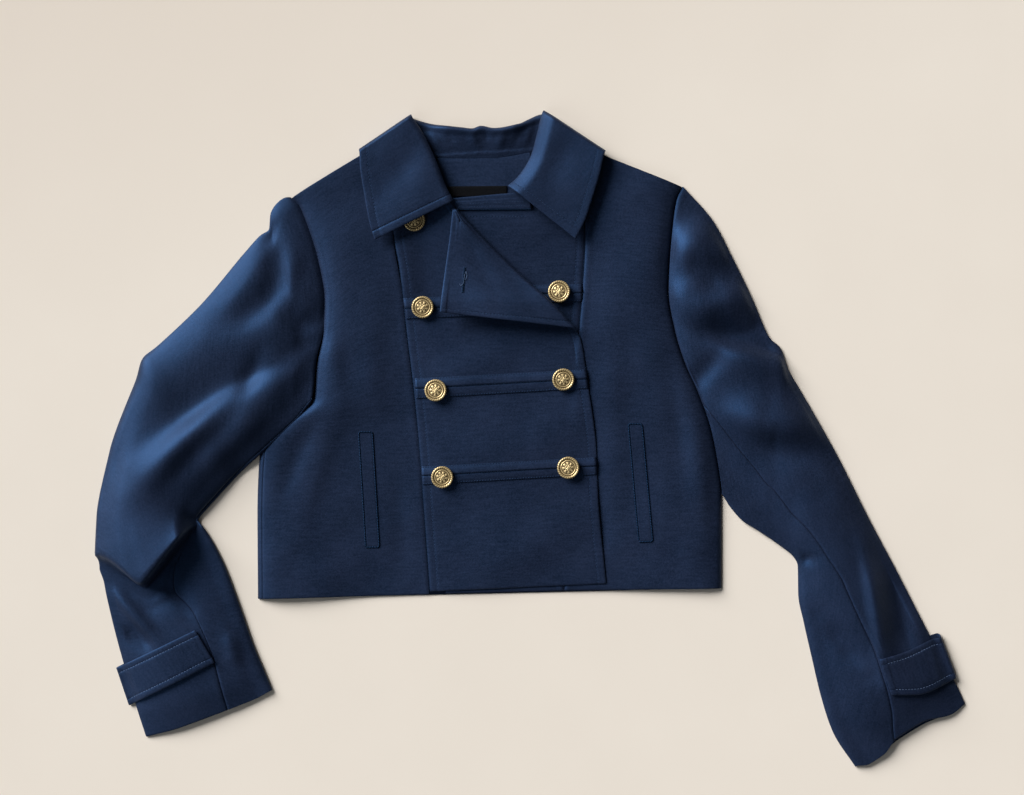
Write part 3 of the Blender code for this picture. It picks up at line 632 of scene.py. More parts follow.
def declare(sheet, node, rests_on, x, y, z, slot):
    """Hang the sheet on the root, hide the solid that it stands for, and print its cut."""
    points = np.stack([x, y, z], axis=-1) * MM
    rows = np.linalg.norm(np.diff(points, axis=1), axis=-1)
    cols = np.linalg.norm(np.diff(points, axis=0), axis=-1)
    quads = np.cross(points[1:, 1:] - points[:-1, :-1], points[1:, :-1] - points[:-1, 1:])
    area = 0.5 * np.linalg.norm(quads, axis=-1).sum()
    width = np.percentile(rows.sum(axis=1), MOST_LINES)
    length = np.percentile(cols.sum(axis=0), MOST_LINES)
    area = min(area, width * length)
    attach(sheet, "root")
    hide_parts(node)
    print(f"{sheet.name}: {width / MM:.0f} x {length / MM:.0f} mm, {area * 10000:.0f} cm2")


def lay_sheet(node, grid, rests_on, finish=navy, slot="cloth", wall=CLOTH):
    sheet = make_sheet(node + "_cloth", *grid, finish, wall)
    remember(node, *grid)
    declare(sheet, node, rests_on, *grid, slot)


# %% [markdown]
# ## Panels of the body
# Each panel is a row of sections from hem to shoulder. The grid is drawn between its left and
# right ends, with the extra lines of its edges, and every point knows how far it is from each edge.
# A panel could be filled from its outline, but then no line of the mesh would follow a seam.

# %% Panel grid
Section = namedtuple("Section", "left_x left_y right_x right_y")


class Panel:
    """Grid of plan points between the ends of a panel's sections."""

    def __init__(self, rows, step, left=SEAM, right=SEAM, hem=FOLDED, top=SEAM, row_step=None):
        dense = np.linspace(0.0, len(rows) - 1.0, 600)
        ends = [curve(range(len(rows)), column) for column in zip(*rows)]
        left_x, left_y, right_x, right_y = (end(dense) for end in ends)
        middle_x, middle_y = (left_x + right_x) / 2.0, (left_y + right_y) / 2.0
        along = np.concatenate([[0.0], np.cumsum(np.hypot(np.diff(middle_x), np.diff(middle_y)))])
        length = along[-1]
        down = spread(length, hem, top, max(1, int(length / (row_step or step))))
        place = np.interp(down, along, dense)
        left_x, left_y, right_x, right_y = (end(place) for end in ends)
        widths = np.hypot(right_x - left_x, right_y - left_y)
        count = max(1, int(widths.max() / step))
        across = np.stack([spread(width, left, right, count) for width in widths])
        share = across / widths[:, None]
        self.x = left_x[:, None] + (right_x - left_x)[:, None] * share
        self.y = left_y[:, None] + (right_y - left_y)[:, None] * share
        self.left, self.right = across, widths[:, None] - across
        self.hem = np.repeat(down[:, None], across.shape[1], axis=1)
        self.top = length - self.hem
        self.z = np.zeros_like(self.x)

    def rest(self, node, below, passes=14):
        """Take the height of the panel's solid, clear of what lies below."""
        self.z = smooth(solid_middle(node, self.x, self.y), passes)
        self.z = clear_of(below, self.x, self.y, self.z)

    def sheet(self, node, rests_on, **choices):
        lay_sheet(node, (self.x, self.y, self.z), rests_on, **choices)


# %% [markdown]
# ## The pattern
# These tables are the pattern sheet of the body. Each line is one section of a panel, from the
# hem up to the shoulder: its left end and its right end, in plan millimetres. Outlines could be
# drawn as curves, but sections give the grid its rows at once.

# %% Pattern of the body
FRONT_RIGHT_SIDE = [
    Section(258.5, 598.5, 429.5, 594.0), Section(258.0, 512.0, 423.0, 500.0),
    Section(261.5, 446.0, 419.5, 450.0), Section(282.0, 423.0, 417.0, 425.0),
    Section(313.0, 399.0, 414.0, 395.0), Section(317.0, 362.0, 410.0, 362.0),
    Section(324.0, 329.0, 406.0, 329.0), Section(325.0, 300.0, 402.0, 290.0),
    Section(318.0, 258.0, 394.0, 240.0), Section(298.5, 204.0, 391.5, 195.0),
    Section(292.0, 198.5, 398.0, 133.0),
]
FRONT_LEFT_SIDE = [
    Section(564.5, 590.0, 721.0, 588.0), Section(569.5, 500.0, 721.0, 512.0),
    Section(571.5, 460.0, 721.0, 493.0), Section(573.5, 425.0, 711.0, 432.0),
    Section(575.5, 393.0, 697.0, 391.0), Section(577.5, 360.0, 684.0, 362.0),
    Section(579.5, 329.0, 674.0, 329.0), Section(583.0, 285.0, 668.0, 290.0),
    Section(585.5, 238.0, 671.0, 238.0), Section(584.0, 205.0, 676.0, 201.0),
    Section(566.0, 141.0, 682.0, 187.5),
]
FRONT_RIGHT_PLACKET = [
    Section(430.0, 591.0, 606.0, 583.0), Section(423.3, 500.0, 598.0, 500.0),
    Section(420.1, 456.0, 596.0, 448.0), Section(414.3, 393.0, 588.5, 390.0),
    Section(407.7, 339.0, 580.0, 338.0), Section(405.4, 318.0, 574.0, 327.0),
    Section(402.1, 286.0, 549.0, 301.0), Section(399.5, 266.0, 526.0, 281.0),
    Section(394.9, 240.0, 490.0, 245.0), Section(392.2, 205.0, 456.0, 210.0),
    Section(396.5, 172.0, 440.0, 178.0),
]
FRONT_LEFT_PLACKET = [
    Section(446.0, 593.0, 564.0, 590.0), Section(440.0, 500.0, 569.0, 500.0),
    Section(432.0, 393.0, 575.0, 393.0), Section(428.0, 329.0, 579.0, 329.0),
    Section(430.0, 274.0, 583.0, 274.0), Section(438.0, 238.0, 585.0, 238.0),
    Section(451.0, 199.0, 574.0, 188.0),
]
print("sections of a front:", len(FRONT_RIGHT_SIDE), "and of its placket:", len(FRONT_RIGHT_PLACKET))

# %% [markdown]
# ## Back
# The back lies flat on the floor and hardly shows. It is one grid between the outer edges of the
# two fronts, with its top rows drawn up to the line of the shoulders and the neck.

# %% Back
NeckPoint = namedtuple("NeckPoint", "x y")
BACK_NECK = [
    NeckPoint(292.0, 198.5), NeckPoint(398.0, 133.0), NeckPoint(436.0, 158.5),
    NeckPoint(532.0, 152.5), NeckPoint(566.0, 141.0), NeckPoint(682.0, 187.5),
]
BACK_ROWS, BACK_COLS = 80, 90
CROWN_ROW = 6                     # section from which the shoulder line is drawn up


def back_plan():
    """Plan points of the back, hem to neck."""
    last = len(FRONT_RIGHT_SIDE) - 1
    place = np.linspace(0.0, last, BACK_ROWS + 1)
    sides = range(last + 1)
    left_x, left_y = (curve(sides, [getattr(row, name) for row in FRONT_RIGHT_SIDE])(place)
                      for name in ("left_x", "left_y"))
    right_x, right_y = (curve(sides, [getattr(row, name) for row in FRONT_LEFT_SIDE])(place)
                        for name in ("right_x", "right_y"))
    neck_x, neck_y = [point.x for point in BACK_NECK], [point.y for point in BACK_NECK]
    column_x = np.linspace(neck_x[0], neck_x[-1], BACK_COLS + 1)
    share = (column_x - neck_x[0]) / (neck_x[-1] - neck_x[0])
    tip_y = neck_y[0] + (neck_y[-1] - neck_y[0]) * share
    crown = np.clip((place - CROWN_ROW) / (last - CROWN_ROW), 0.0, 1.0)
    x = left_x[:, None] + (right_x - left_x)[:, None] * share
    y = left_y[:, None] + (right_y - left_y)[:, None] * share
    y += crown[:, None] * (np.interp(column_x, neck_x, neck_y) - tip_y)
    return x, y


back_x, back_y = back_plan()
back_z = smooth(solid_middle("back", back_x, back_y), 2)
lay_sheet("back", (back_x, back_y, back_z), ["floor"])

# %% [markdown]
# ## Inside of the collar
# Behind the open neck the inside of the collar stands up, a little crumpled, and rolls over at
# its top edge. It is a grid between its seam and that edge, with small folds drawn on it one by
# one, because the sag of the edge and the creases below it have to fit together.

# %% Inside of the collar
STAND_TOP = [
    (411.0, 118.5), (420.0, 121.5), (438.0, 126.0), (463.0, 129.0), (472.0, 130.0), (481.0, 127.3),
    (494.0, 129.5), (519.0, 125.0), (529.0, 120.0), (538.5, 115.5), (543.0, 114.5),
]
STAND_SEAM = [
    (424.0, 157.0), (434.0, 159.0), (465.0, 160.5), (492.0, 160.5), (519.0, 156.5), (533.0, 152.5),
    (540.0, 149.0),
]
STAND_FOLDS = [
    Fold([(428, 128), (441, 150)], 4.0, 4.0, 1.2), Fold([(446, 131), (455, 146)], 3.5, 5.0, -0.8),
    Fold([(470, 133), (478, 146)], 3.5, 4.5, 1.0), Fold([(484, 130), (489, 143)], 3.0, 4.0, -0.9),
    Fold([(505, 131), (498, 150)], 4.0, 5.0, 1.1), Fold([(524, 125), (513, 148)], 3.5, 4.5, -0.9),
    Fold([(533, 122), (524, 148)], 3.0, 3.0, 0.8),
]


STAND_COLUMNS, STAND_ROWS = 66, 24
STAND_NEAR, STAND_FAR = (0.0, 0.012, 0.03, 0.06), (0.0, 0.01, 0.03, 0.06, 0.1)


def stand_plan():
    """Plan points from seam to top edge, and the share of the way between them."""
    columns = np.linspace(0.0, 1.0, STAND_COLUMNS)
    shares = spread(1.0, STAND_NEAR, STAND_FAR, STAND_ROWS)
    top = np.array(STAND_TOP)
    seam = np.array(STAND_SEAM)
    top_x = np.interp(columns, (0.0, 1.0), (top[0, 0], top[-1, 0]))
    seam_x = np.interp(columns, (0.0, 1.0), (seam[0, 0], seam[-1, 0]))
    top_y = curve(top[:, 0], top[:, 1])(top_x)
    seam_y = curve(seam[:, 0], seam[:, 1])(seam_x)
    x = seam_x + (top_x - seam_x) * shares[:, None]
    y = seam_y + (top_y - seam_y) * shares[:, None]
    return x, y, shares[:, None] + 0.0 * x


STAND_PUFF = 1.6                  # roundness between seam and top edge
STAND_DITCH, STAND_DEPTH = 0.7, 34.0   # depth of the seam's ditch; from seam to top edge
STAND_RISE, STAND_FADE = 8.0, 26.0     # rise of the top edge; how it fades at the ends
STAND_FROM, STAND_TO = 424.0, 538.0    # ends of the part that stands up
ROLL_UP, ROLL_OVER = 1.6, 3.2     # the top edge swells, then turns over
stand_x, stand_y, stand_share = stand_plan()
stand_z = smooth(solid_middle("collar_stand", stand_x, stand_y), 10)
stand_z = clear_of(("back",), stand_x, stand_y, stand_z)
stand_z += STAND_PUFF * np.sin(math.pi * stand_share) + fold_field(STAND_FOLDS, stand_x, stand_y)
stand_z -= STAND_DITCH * bell(stand_share * STAND_DEPTH, 1.2)
ends_fade = ease((stand_x - STAND_FROM) / STAND_FADE) * ease((STAND_TO - stand_x) / STAND_FADE)
stand_z += STAND_RISE * stand_share ** 1.5 * ends_fade
stand_z += ROLL_UP * ease((stand_share - 0.72) / 0.2)
stand_z -= ROLL_OVER * np.clip((stand_share - 0.9) / 0.1, 0, 1) ** 2
lay_sheet("collar_stand", (stand_x, stand_y, stand_z), ["back"])

# %% [markdown]
# ## Facing and label
# Below that seam the back facing shows, with the black ribbon sewn on it. Both are plain panels;
# the ribbon's edges are turned under, so they roll down.

# %% Facing and label
facing = Panel([Section(425.0, 224.0, 541.0, 222.0), Section(436.0, 158.5, 531.5, 153.0)], 3.0,
               left=RAW, right=RAW, hem=RAW)
facing.rest("back_facing", ("back",))
facing.z += unevenness(facing.x, facing.y, 0.25) - 0.35 * bell(facing.top, 3.0)
facing.sheet("back_facing", ["back"])

RIBBON_EDGE, RIBBON_WALL = 0.6, 0.5
label = Panel([Section(447.0, 197.0, 507.0, 196.5), Section(447.0, 187.0, 507.0, 186.5)], 1.5,
              left=FOLDED, right=FOLDED, top=FOLDED)
label.rest("label", ("back_facing",))
label.z += RIBBON_EDGE * (folded_edge(label.top) + folded_edge(label.left) + folded_edge(label.right))
label.sheet("label", ["back_facing"], finish=black_satin, slot="label", wall=RIBBON_WALL)

# %% [markdown]
# ## Left front
# The wearer's left front lies under the other one, so it is laid first. A front stands a little
# off the back at its side, where the air inside the blazer holds it up, and a few faint drag
# lines run from the underarm. Both fronts share the function that gives them this.

# %% Left front
LEFT_FOLDS = [
    Fold([(690, 400), (700, 470), (704, 540)], 9.0, 12.0, 1.6),
    Fold([(664, 330), (676, 410), (684, 500)], 12.0, 12.0, -1.3),
    Fold([(612, 300), (612, 400), (618, 540)], 14.0, 16.0, 1.4),
    Fold([(596, 470), (604, 560)], 10.0, 12.0, -1.0),
    Fold([(660, 540), (690, 575)], 12.0, 14.0, -0.9),
]
FRONT_STEP = 3.6                  # spacing of the grid
SIDE_AIR = 6.0                    # how far a front stands off the back beside its side seam
SIDE_RISE, SIDE_RUN = 9.0, 125.0  # distances over which it rises and settles again
FRONT_WAVE, WAVE_RUN = 0.8, 14.0


def fill_front(front, folds, from_side):
    """Air beside the side seam, drag lines, and the waviness of laid cloth."""
    front.z += SIDE_AIR * (1.0 - np.exp(-from_side / SIDE_RISE)) * ease(1.0 - from_side / SIDE_RUN)
    front.z += fold_field(folds, front.x, front.y)
    front.z += unevenness(front.x, front.y, FRONT_WAVE) * ease(from_side / WAVE_RUN)


left_front = Panel(FRONT_LEFT_SIDE, FRONT_STEP)
left_front.rest("front_left_side", ("back",))
fill_front(left_front, LEFT_FOLDS, left_front.right)
left_front.z += seam_dip(left_front.left) + seam_dip(left_front.right) + folded_edge(left_front.hem)
left_front.sheet("front_left_side", ["back"])

# %% [markdown]
# ## Underlap placket and neckband
# A placket runs down the open edge of the left front, and a narrow band finishes its neck. They
# could be part of the front, but each was cut on its own, and its seam shows as a real step.

# %% Underlap placket and neckband
underlap = Panel(FRONT_LEFT_PLACKET, FRONT_STEP, left=FOLDED, right=FAR_STITCHED, top=FOLDED)
underlap.rest("front_left_placket", ("back", "back_facing", "label"))
underlap.z += unevenness(underlap.x, underlap.y, 0.3) + seam_dip(underlap.right)
underlap.z += stitched(underlap.right, STITCH_FAR, 0.10) + folded_edge(underlap.hem)
underlap.sheet("front_left_placket", ["back"])

BAND_GROOVE, BAND_SWELL = 0.25, 0.35
neckband = Panel([Section(456.0, 210.0, 532.0, 209.5), Section(450.0, 199.5, 530.0, 192.5)], 2.4,
                 left=FOLDED, right=RAW, hem=FOLDED, top=FOLDED, row_step=0.8)
neckband.rest("neckband_left", ("front_left_placket", "label", "back_facing"))
neckband.z += folded_edge(neckband.hem) + folded_edge(neckband.top) + BAND_SWELL
neckband.z -= BAND_GROOVE * bell(neckband.hem - 3.2, GROOVE_WIDTH)
neckband.z -= BAND_GROOVE * bell(neckband.top - 4.0, GROOVE_WIDTH)
neckband.sheet("neckband_left", ["front_left_placket"])

# %% [markdown]
# ## Slit bands
# Across the front, each pair of buttons is joined by a band with a slit along its middle. Its
# upper lip lies over the lower one, and both long edges are sewn flat to the placket. It could be
# two strips; one strip with a step along its middle keeps both lips together.

# %% Band maker
BAND_EDGE = (0.0, 0.4, 1.0, 1.8, 3.2, 5.0, 7.0, 8.2, 8.7)
BAND_ROWS = {
    "band_right_row2": [Section(406.5, 319.0, 480.0, 316.0), Section(403.5, 298.5, 480.0, 296.0)],
    "band_left_row2": [Section(520.0, 303.5, 582.0, 301.5), Section(520.0, 285.5, 582.5, 284.0)],
    "band_row3": [Section(416.3, 398.5, 588.0, 388.3), Section(414.8, 378.5, 586.0, 369.4)],
    "band_row4": [Section(422.8, 484.5, 597.0, 474.3), Section(421.5, 466.5, 595.8, 457.0)],
}
BAND_RISE, BAND_SLOPE = 0.6, 4.0  # how far a band stands up, and over what distance
LIP, LIP_RUN = 0.9, 9.0           # step of the upper lip over the lower
SLIT_DEPTH, SLIT_WIDTH = 0.45, 0.9


def lay_band(node, carrier):
    """Band on a placket; where it runs past the edge it takes the nearest height."""
    band = Panel(BAND_ROWS[node], 3.0, left=RAW, right=RAW, hem=BAND_EDGE, top=BAND_EDGE, row_step=60.0)
    carrier_z = under_middle((carrier,), band.x, band.y, 0.5)
    missed = carrier_z < 0.0
    carrier_z[missed] = under_middle((carrier,), band.x[missed], band.y[missed], 3.0)
    band.z = carrier_z + CLOTH + 0.02
    band.z += BAND_RISE * ease(np.minimum(band.hem, band.top) / BAND_SLOPE)
    slit = 0.5 * (band.hem[0, 0] + band.hem[-1, 0])
    band.z += np.where(band.hem > slit, LIP * ease(band.top / LIP_RUN),
                       -SLIT_DEPTH * bell(np.abs(band.hem - slit), SLIT_WIDTH))
    band.sheet(node, [carrier])
    return band


bands = {"band_left_row2": lay_band("band_left_row2", "front_left_placket")}

# %% [markdown]
# ## Right front
# The wearer's right front lies over the left one. It is laid like the other, with its own drag
# lines, and a pressed line follows its side seam below the armhole.

# %% Right front
RIGHT_FOLDS = [
    Fold([(322, 410), (300, 450), (276, 512)], 9.0, 11.0, -1.6),
    Fold([(336, 420), (318, 470), (296, 540)], 11.0, 13.0, 1.4),
    Fold([(372, 300), (372, 380), (384, 430)], 14.0, 16.0, 1.3),
    Fold([(330, 330), (340, 400)], 9.0, 12.0, 1.2),
    Fold([(398, 470), (404, 570)], 9.0, 12.0, -1.0),
    Fold([(290, 560), (350, 585)], 14.0, 14.0, 1.0),
]
PRESSED_LINE, PRESSED_AT = 0.6, 5.0    # depth of the line, and distance from the side seam
UNDERARM = 440.0                  # plan y below which it shows
PLACKET_DIP = 0.5                 # share of a seam's dip beside the placket
right_front = Panel(FRONT_RIGHT_SIDE, FRONT_STEP, left=SIDE_SEAM)
right_front.rest("front_right_side", ("back",))
fill_front(right_front, RIGHT_FOLDS, right_front.left)
below_arm = ease((right_front.y - UNDERARM) / 20.0)
right_front.z -= PRESSED_LINE * bell(right_front.left - PRESSED_AT, 0.6) * below_arm
right_front.z += seam_dip(right_front.left) + PLACKET_DIP * seam_dip(right_front.right)
right_front.z += folded_edge(right_front.hem)
right_front.sheet("front_right_side", ["back"])

# %% [markdown]
# ## Overlap placket
# The wide placket of the right front crosses the whole middle and carries the buttons. It lies on
# the left front, and long, low waves run across it where that front ends below.

# %% Overlap placket and its bands
PLACKET_FOLDS = [
    Fold([(398, 205), (402, 260), (408, 330)], 16.0, 30.0, 4.2),
    Fold([(446, 462), (530, 448), (596, 420)], 28.0, 28.0, 2.2),
    Fold([(446, 566), (520, 548), (606, 520)], 30.0, 26.0, 1.8),
    Fold([(424, 380), (470, 370), (530, 352)], 24.0, 22.0, 1.6),
]
placket = Panel(FRONT_RIGHT_PLACKET, FRONT_STEP, left=FAR_STITCHED, right=FAR_STITCHED)
placket.rest("front_right_placket",
             ("front_left_placket", "front_left_side", "band_left_row2", "neckband_left"))
placket.z += fold_field(PLACKET_FOLDS, placket.x, placket.y) + unevenness(placket.x, placket.y, 0.6)
placket.z += PLACKET_DIP * seam_dip(placket.left) + stitched(placket.left, STITCH_FAR, 0.10)
placket.z += folded_edge(placket.right) + stitched(placket.right, STITCH_FAR, 0.14)
placket.z += folded_edge(placket.hem)
placket.sheet("front_right_placket", ["front_left_placket"])
for band_name in ("band_right_row2", "band_row3", "band_row4"):
    bands[band_name] = lay_band(band_name, "front_right_placket")

# %% [markdown]
# ## Pocket welts
# A welt is a narrow folded strip sewn over the pocket's opening. It stands hardly above the
# front, so the strip takes the front's own height and adds the thickness of its fold.

# %% Pocket welts
WELT_RISE = 0.45                  # how far a welt stands off its front
WELTS = {
    "welt_right": ([Section(366.0, 547.0, 379.4, 547.0), Section(359.0, 432.0, 372.6, 432.0)],
                   "front_right_side"),
    "welt_left": ([Section(638.6, 541.5, 652.4, 541.0), Section(628.0, 424.0, 641.6, 424.0)],
                  "front_left_side"),
}
for welt_name, (welt_rows, carrier) in WELTS.items():
    welt = Panel(welt_rows, 2.0, left=FOLDED, right=FOLDED, hem=FOLDED, top=FOLDED, row_step=4.0)
    edge = np.minimum(np.minimum(welt.left, welt.right), np.minimum(welt.hem, welt.top))
    welt.z = smooth(under_middle((carrier,), welt.x, welt.y, 1.0), 3)
    welt.z += WELT_RISE + folded_edge(edge)
    welt.sheet(welt_name, [carrier])

# %% [markdown]
# ## The turned-back corner
# The top of the overlap is turned back into a small lapel. It rolls over along its long edge,
# and its lower edge and outer point stand off the front, so they throw a clear shadow. It could
# go on from the placket in one sheet, but its stitching needs a finer grid.

# %% Turned-back corner
REVERS = [
    Section(441.0, 313.0, 575.0, 328.5), Section(442.0, 300.0, 549.0, 301.0),
    Section(446.0, 268.0, 515.5, 271.0), Section(450.0, 239.0, 485.5, 241.0),
    Section(453.0, 210.5, 457.0, 210.5),
]
REVERS_FOLDS = [
    Fold([(462, 226), (478, 262), (500, 292)], 9.0, 10.0, -1.6),
    Fold([(456, 300), (500, 302), (548, 312)], 8.0, 9.0, 1.2),
]
REVERS_LIFT, LIFT_RUN = 8.0, 45.0      # how far the lower edge stands off, and how fast it settles
ROLL_DROP, ROLL_RUN = 1.6, 3.0    # the long edge rolls down
revers = Panel(REVERS, 2.6, left=NEAR_STITCHED, right=FOLDED, hem=NEAR_STITCHED, top=RAW)
revers.rest("front_right_revers", ("front_right_placket", "band_right_row2", "band_row3"), passes=20)
revers.z += fold_field(REVERS_FOLDS, revers.x, revers.y)
revers.z += REVERS_LIFT * np.exp(-revers.hem / LIFT_RUN)
revers.z += folded_edge(revers.hem) + stitched(revers.hem, STITCH_NEAR)
revers.z += folded_edge(revers.left) - ROLL_DROP * np.clip(1.0 - revers.right / ROLL_RUN, 0.0, 1.0) ** 2
revers.sheet("front_right_revers", ["front_right_placket"])

# %% [markdown]
# ## Sections of the sleeves
# A sleeve is a flattened tube of two pieces. It is drawn by sections from shoulder to cuff: both
# ends, the share of the width where the front seam lies, how high the sleeve rises, how its head
# follows the armhole, and at the folded elbow how far the cloth slides and is stacked.

# %% Sleeve sections
SleeveSection = namedtuple(
    "SleeveSection", "outer_x outer_y inner_x inner_y seam rise lift cap reach stack")
SLEEVE_RIGHT = [
    SleeveSection(292.0, 198.5, 313.0, 399.0, 0.992, 0.0, 3.0, 1.0, 0, 0),
    SleeveSection(286.5, 198.8, 310.0, 402.5, 0.992, 3.0, 3.0, 0.90, 0, 0),
    SleeveSection(277.0, 205.5, 305.0, 408.5, 0.992, 6.0, 3.0, 0.78, 0, 0),
    SleeveSection(271.5, 216.0, 301.0, 414.0, 0.992, 8.0, 3.0, 0.66, 0, 0),
    SleeveSection(270.3, 230.0, 295.0, 421.0, 0.992, 10.0, 3.0, 0.55, 0, 0),
    SleeveSection(261.0, 237.0, 288.0, 427.5, 0.992, 12.0, 3.0, 0.45, 0, 0),
    SleeveSection(244.0, 256.0, 281.0, 434.0, 0.992, 14.0, 3.0, 0.35, 0, 0),
    SleeveSection(202.0, 306.0, 261.0, 452.0, 0.992, 16.0, 3.0, 0.12, 0, 0),
    SleeveSection(160.0, 346.0, 240.0, 471.0, 0.992, 17.0, 0.0, 0.0, 0, 0),
    SleeveSection(143.5, 360.5, 224.0, 488.0, 0.992, 17.5, 0.0, 0.0, 0, 0),
    SleeveSection(138.0, 379.0, 214.0, 499.0, 0.992, 18.0, 0.0, 0.0, 0, 0),
    SleeveSection(112.0, 452.0, 199.0, 516.0, 0.992, 15.0, 0.0, 0.0, 5, 3),
    SleeveSection(102.5, 515.0, 197.5, 519.0, 0.992, 9.0, 0.0, 0.0, 20, 15),
    SleeveSection(102.2, 552.0, 197.5, 521.5, 0.992, 8.0, 0.0, 0.0, 40, 22),
    SleeveSection(102.0, 555.5, 198.5, 523.5, 0.992, 6.0, 0.0, 0.0, 41, 14),
    SleeveSection(101.5, 561.0, 200.0, 526.0, 0.930, 3.0, 0.0, 0.0, 38.0, 3.0),
    SleeveSection(101.5, 568.0, 202.5, 528.5, 0.800, 1.0, 0.0, 0.0, 35.0, 0),
    SleeveSection(105.5, 580.0, 209.0, 538.0, 0.600, 0.5, 0.0, 0.0, 32, 0),
    SleeveSection(108.5, 595.0, 222.0, 563.0, 0.560, 1.5, 0.0, 0.0, 22, 0),
    SleeveSection(117.0, 631.0, 238.0, 605.0, 0.655, 5.5, 0.0, 0.0, 4, 0),
    SleeveSection(126.0, 664.0, 252.0, 645.0, 0.690, 8.0, 0.0, 0.0, 0, 0),
    SleeveSection(138.0, 705.0, 262.5, 670.0, 0.670, 8.0, 0.0, 0.0, 0, 0),
    SleeveSection(148.0, 736.0, 271.0, 690.5, 0.650, 4.0, 0.0, 0.0, 0, 0),
]
SLEEVE_LEFT = [
    SleeveSection(682.0, 187.5, 721.0, 493.0, 0.795, 3.0, 0, 1.0, 0, 0),
    SleeveSection(712.0, 222.0, 732.0, 507.0, 0.770, 5.0, 0, 0.6, 0, 0),
    SleeveSection(730.0, 256.0, 744.0, 520.0, 0.755, 6.5, 0, 0.35, 0, 0),
    SleeveSection(749.0, 295.0, 757.0, 528.0, 0.755, 8.0, 0, 0.15, 0, 0),
    SleeveSection(769.0, 339.5, 766.0, 534.0, 0.750, 9.0, 0, 0.05, 0, 0),
    SleeveSection(779.0, 348.5, 770.0, 536.5, 0.750, 9.5, 0, 0.03, 0, 0),
    SleeveSection(787.0, 370.0, 777.0, 541.5, 0.750, 10.5, 0, 0.0, 0, 0),
    SleeveSection(803.0, 398.0, 786.0, 548.0, 0.765, 12.0, 0, 0.0, 0, 0),
    SleeveSection(834.0, 453.0, 793.0, 554.0, 0.730, 14.0, 0, 0.0, 0, 0),
    SleeveSection(868.0, 521.0, 799.0, 566.0, 0.670, 14.0, 0, 0.0, 0, 0),
    SleeveSection(893.0, 568.0, 799.5, 594.0, 0.555, 14.0, 0, 0.0, 0, 0),
    SleeveSection(912.0, 605.0, 805.0, 622.0, 0.533, 14.0, 0, 0.0, 0, 0),
    SleeveSection(930.0, 640.0, 813.0, 657.0, 0.505, 13.0, 0, 0.0, 0, 0),
    SleeveSection(944.0, 666.0, 822.0, 695.0, 0.512, 13.0, 0, 0.0, 0, 0),
    SleeveSection(955.0, 686.0, 834.0, 731.0, 0.540, 10.0, 0, 0.0, 0, 0),
    SleeveSection(963.0, 704.0, 856.0, 765.0, 0.635, 5.0, 0, 0.0, 0, 0),
]
print("sections:", len(SLEEVE_RIGHT), "and", len(SLEEVE_LEFT))

# %% [markdown]
# ## Folds of the sleeves
# Most of the life of the blazer is in its sleeves: long creases run from the armhole and gather
# at the elbow. They are drawn one by one, because each lies where the arm was bent.

# %% Folds of the sleeves
FOLDS_RIGHT = [
    Fold([(270, 240), (276, 262), (278, 284), (266, 303), (244, 317), (222, 324)], 13.0, 12.0, -6.5),
    Fold([(278, 306), (300, 324), (322, 323)], 9.0, 7.0, -5.0),
    Fold([(296, 246), (293, 268), (292, 292)], 6.0, 8.0, 3.5),
    Fold([(266, 232), (284, 230)], 4.0, 5.0, -4.0),
    Fold([(124, 456), (180, 418), (216, 392), (246, 376), (300, 356)], 32.0, 12.0, -9.5),
    Fold([(262, 350), (256, 368), (240, 402)], 9.0, 9.0, -4.0),
    Fold([(130, 496), (160, 470), (194, 440), (236, 400)], 14.0, 16.0, 7.0),
    Fold([(222, 426), (200, 448), (168, 482)], 10.0, 10.0, -3.5),
    Fold([(196, 478), (230, 446), (276, 404)], 14.0, 14.0, 5.0),
    Fold([(296, 348), (318, 345)], 4.0, 4.0, -2.0),
    Fold([(104, 583), (133, 611), (166, 648)], 7.0, 6.0, 5.0),
    Fold([(122, 626), (158, 650)], 11.0, 8.0, -5.0),
    Fold([(174, 586), (186, 606), (198, 622)], 8.0, 9.0, -3.0),
    Fold([(228, 628), (240, 668)], 9.0, 9.0, 3.0),
]
FOLDS_LEFT = [
    Fold([(646, 268), (668, 256), (690, 242), (718, 225)], 10.0, 22.0, 12.0),
    Fold([(686, 262), (708, 254), (736, 246)], 6.0, 13.0, 5.0),
    Fold([(656, 306), (684, 290), (712, 274)], 8.0, 16.0, 9.0),
    Fold([(668, 324), (692, 311), (714, 301), (760, 288)], 10.0, 27.0, 11.0),
    Fold([(684, 325), (704, 332), (730, 338), (752, 343), (806, 352)], 16.0, 5.0, -10.0),
    Fold([(696, 348), (748, 357), (810, 367)], 9.0, 26.0, 8.0),
    Fold([(684, 394), (706, 370), (730, 346)], 7.0, 6.0, -4.5),
    Fold([(712, 408), (760, 424), (824, 434)], 24.0, 14.0, 11.0),
    Fold([(740, 440), (800, 452), (840, 458)], 16.0, 18.0, -4.5),
    Fold([(860, 540), (871, 600), (882, 682)], 14.0, 6.0, 6.0),
    Fold([(888, 560), (898, 610), (908, 662)], 12.0, 20.0, -6.5),
    Fold([(820, 616), (842, 642), (864, 672)], 12.0, 10.0, -4.0),
    Fold([(790, 562), (814, 556)], 5.0, 6.0, -2.5),
    Fold([(796, 466), (838, 502)], 16.0, 18.0, -2.5),
]
print("folds:", len(FOLDS_RIGHT), "and", len(FOLDS_LEFT))

# %% [markdown]
# ## Surface of a sleeve
# A sleeve could be lofted from rings, but its two pieces meet at a seam that wanders across it.
# So its surface is written as a function of two numbers: the place along the sleeve and the share
# of its width. The right sleeve is folded on itself at the elbow, so there the middle of each
# section slides towards the cuff and lies in layers.

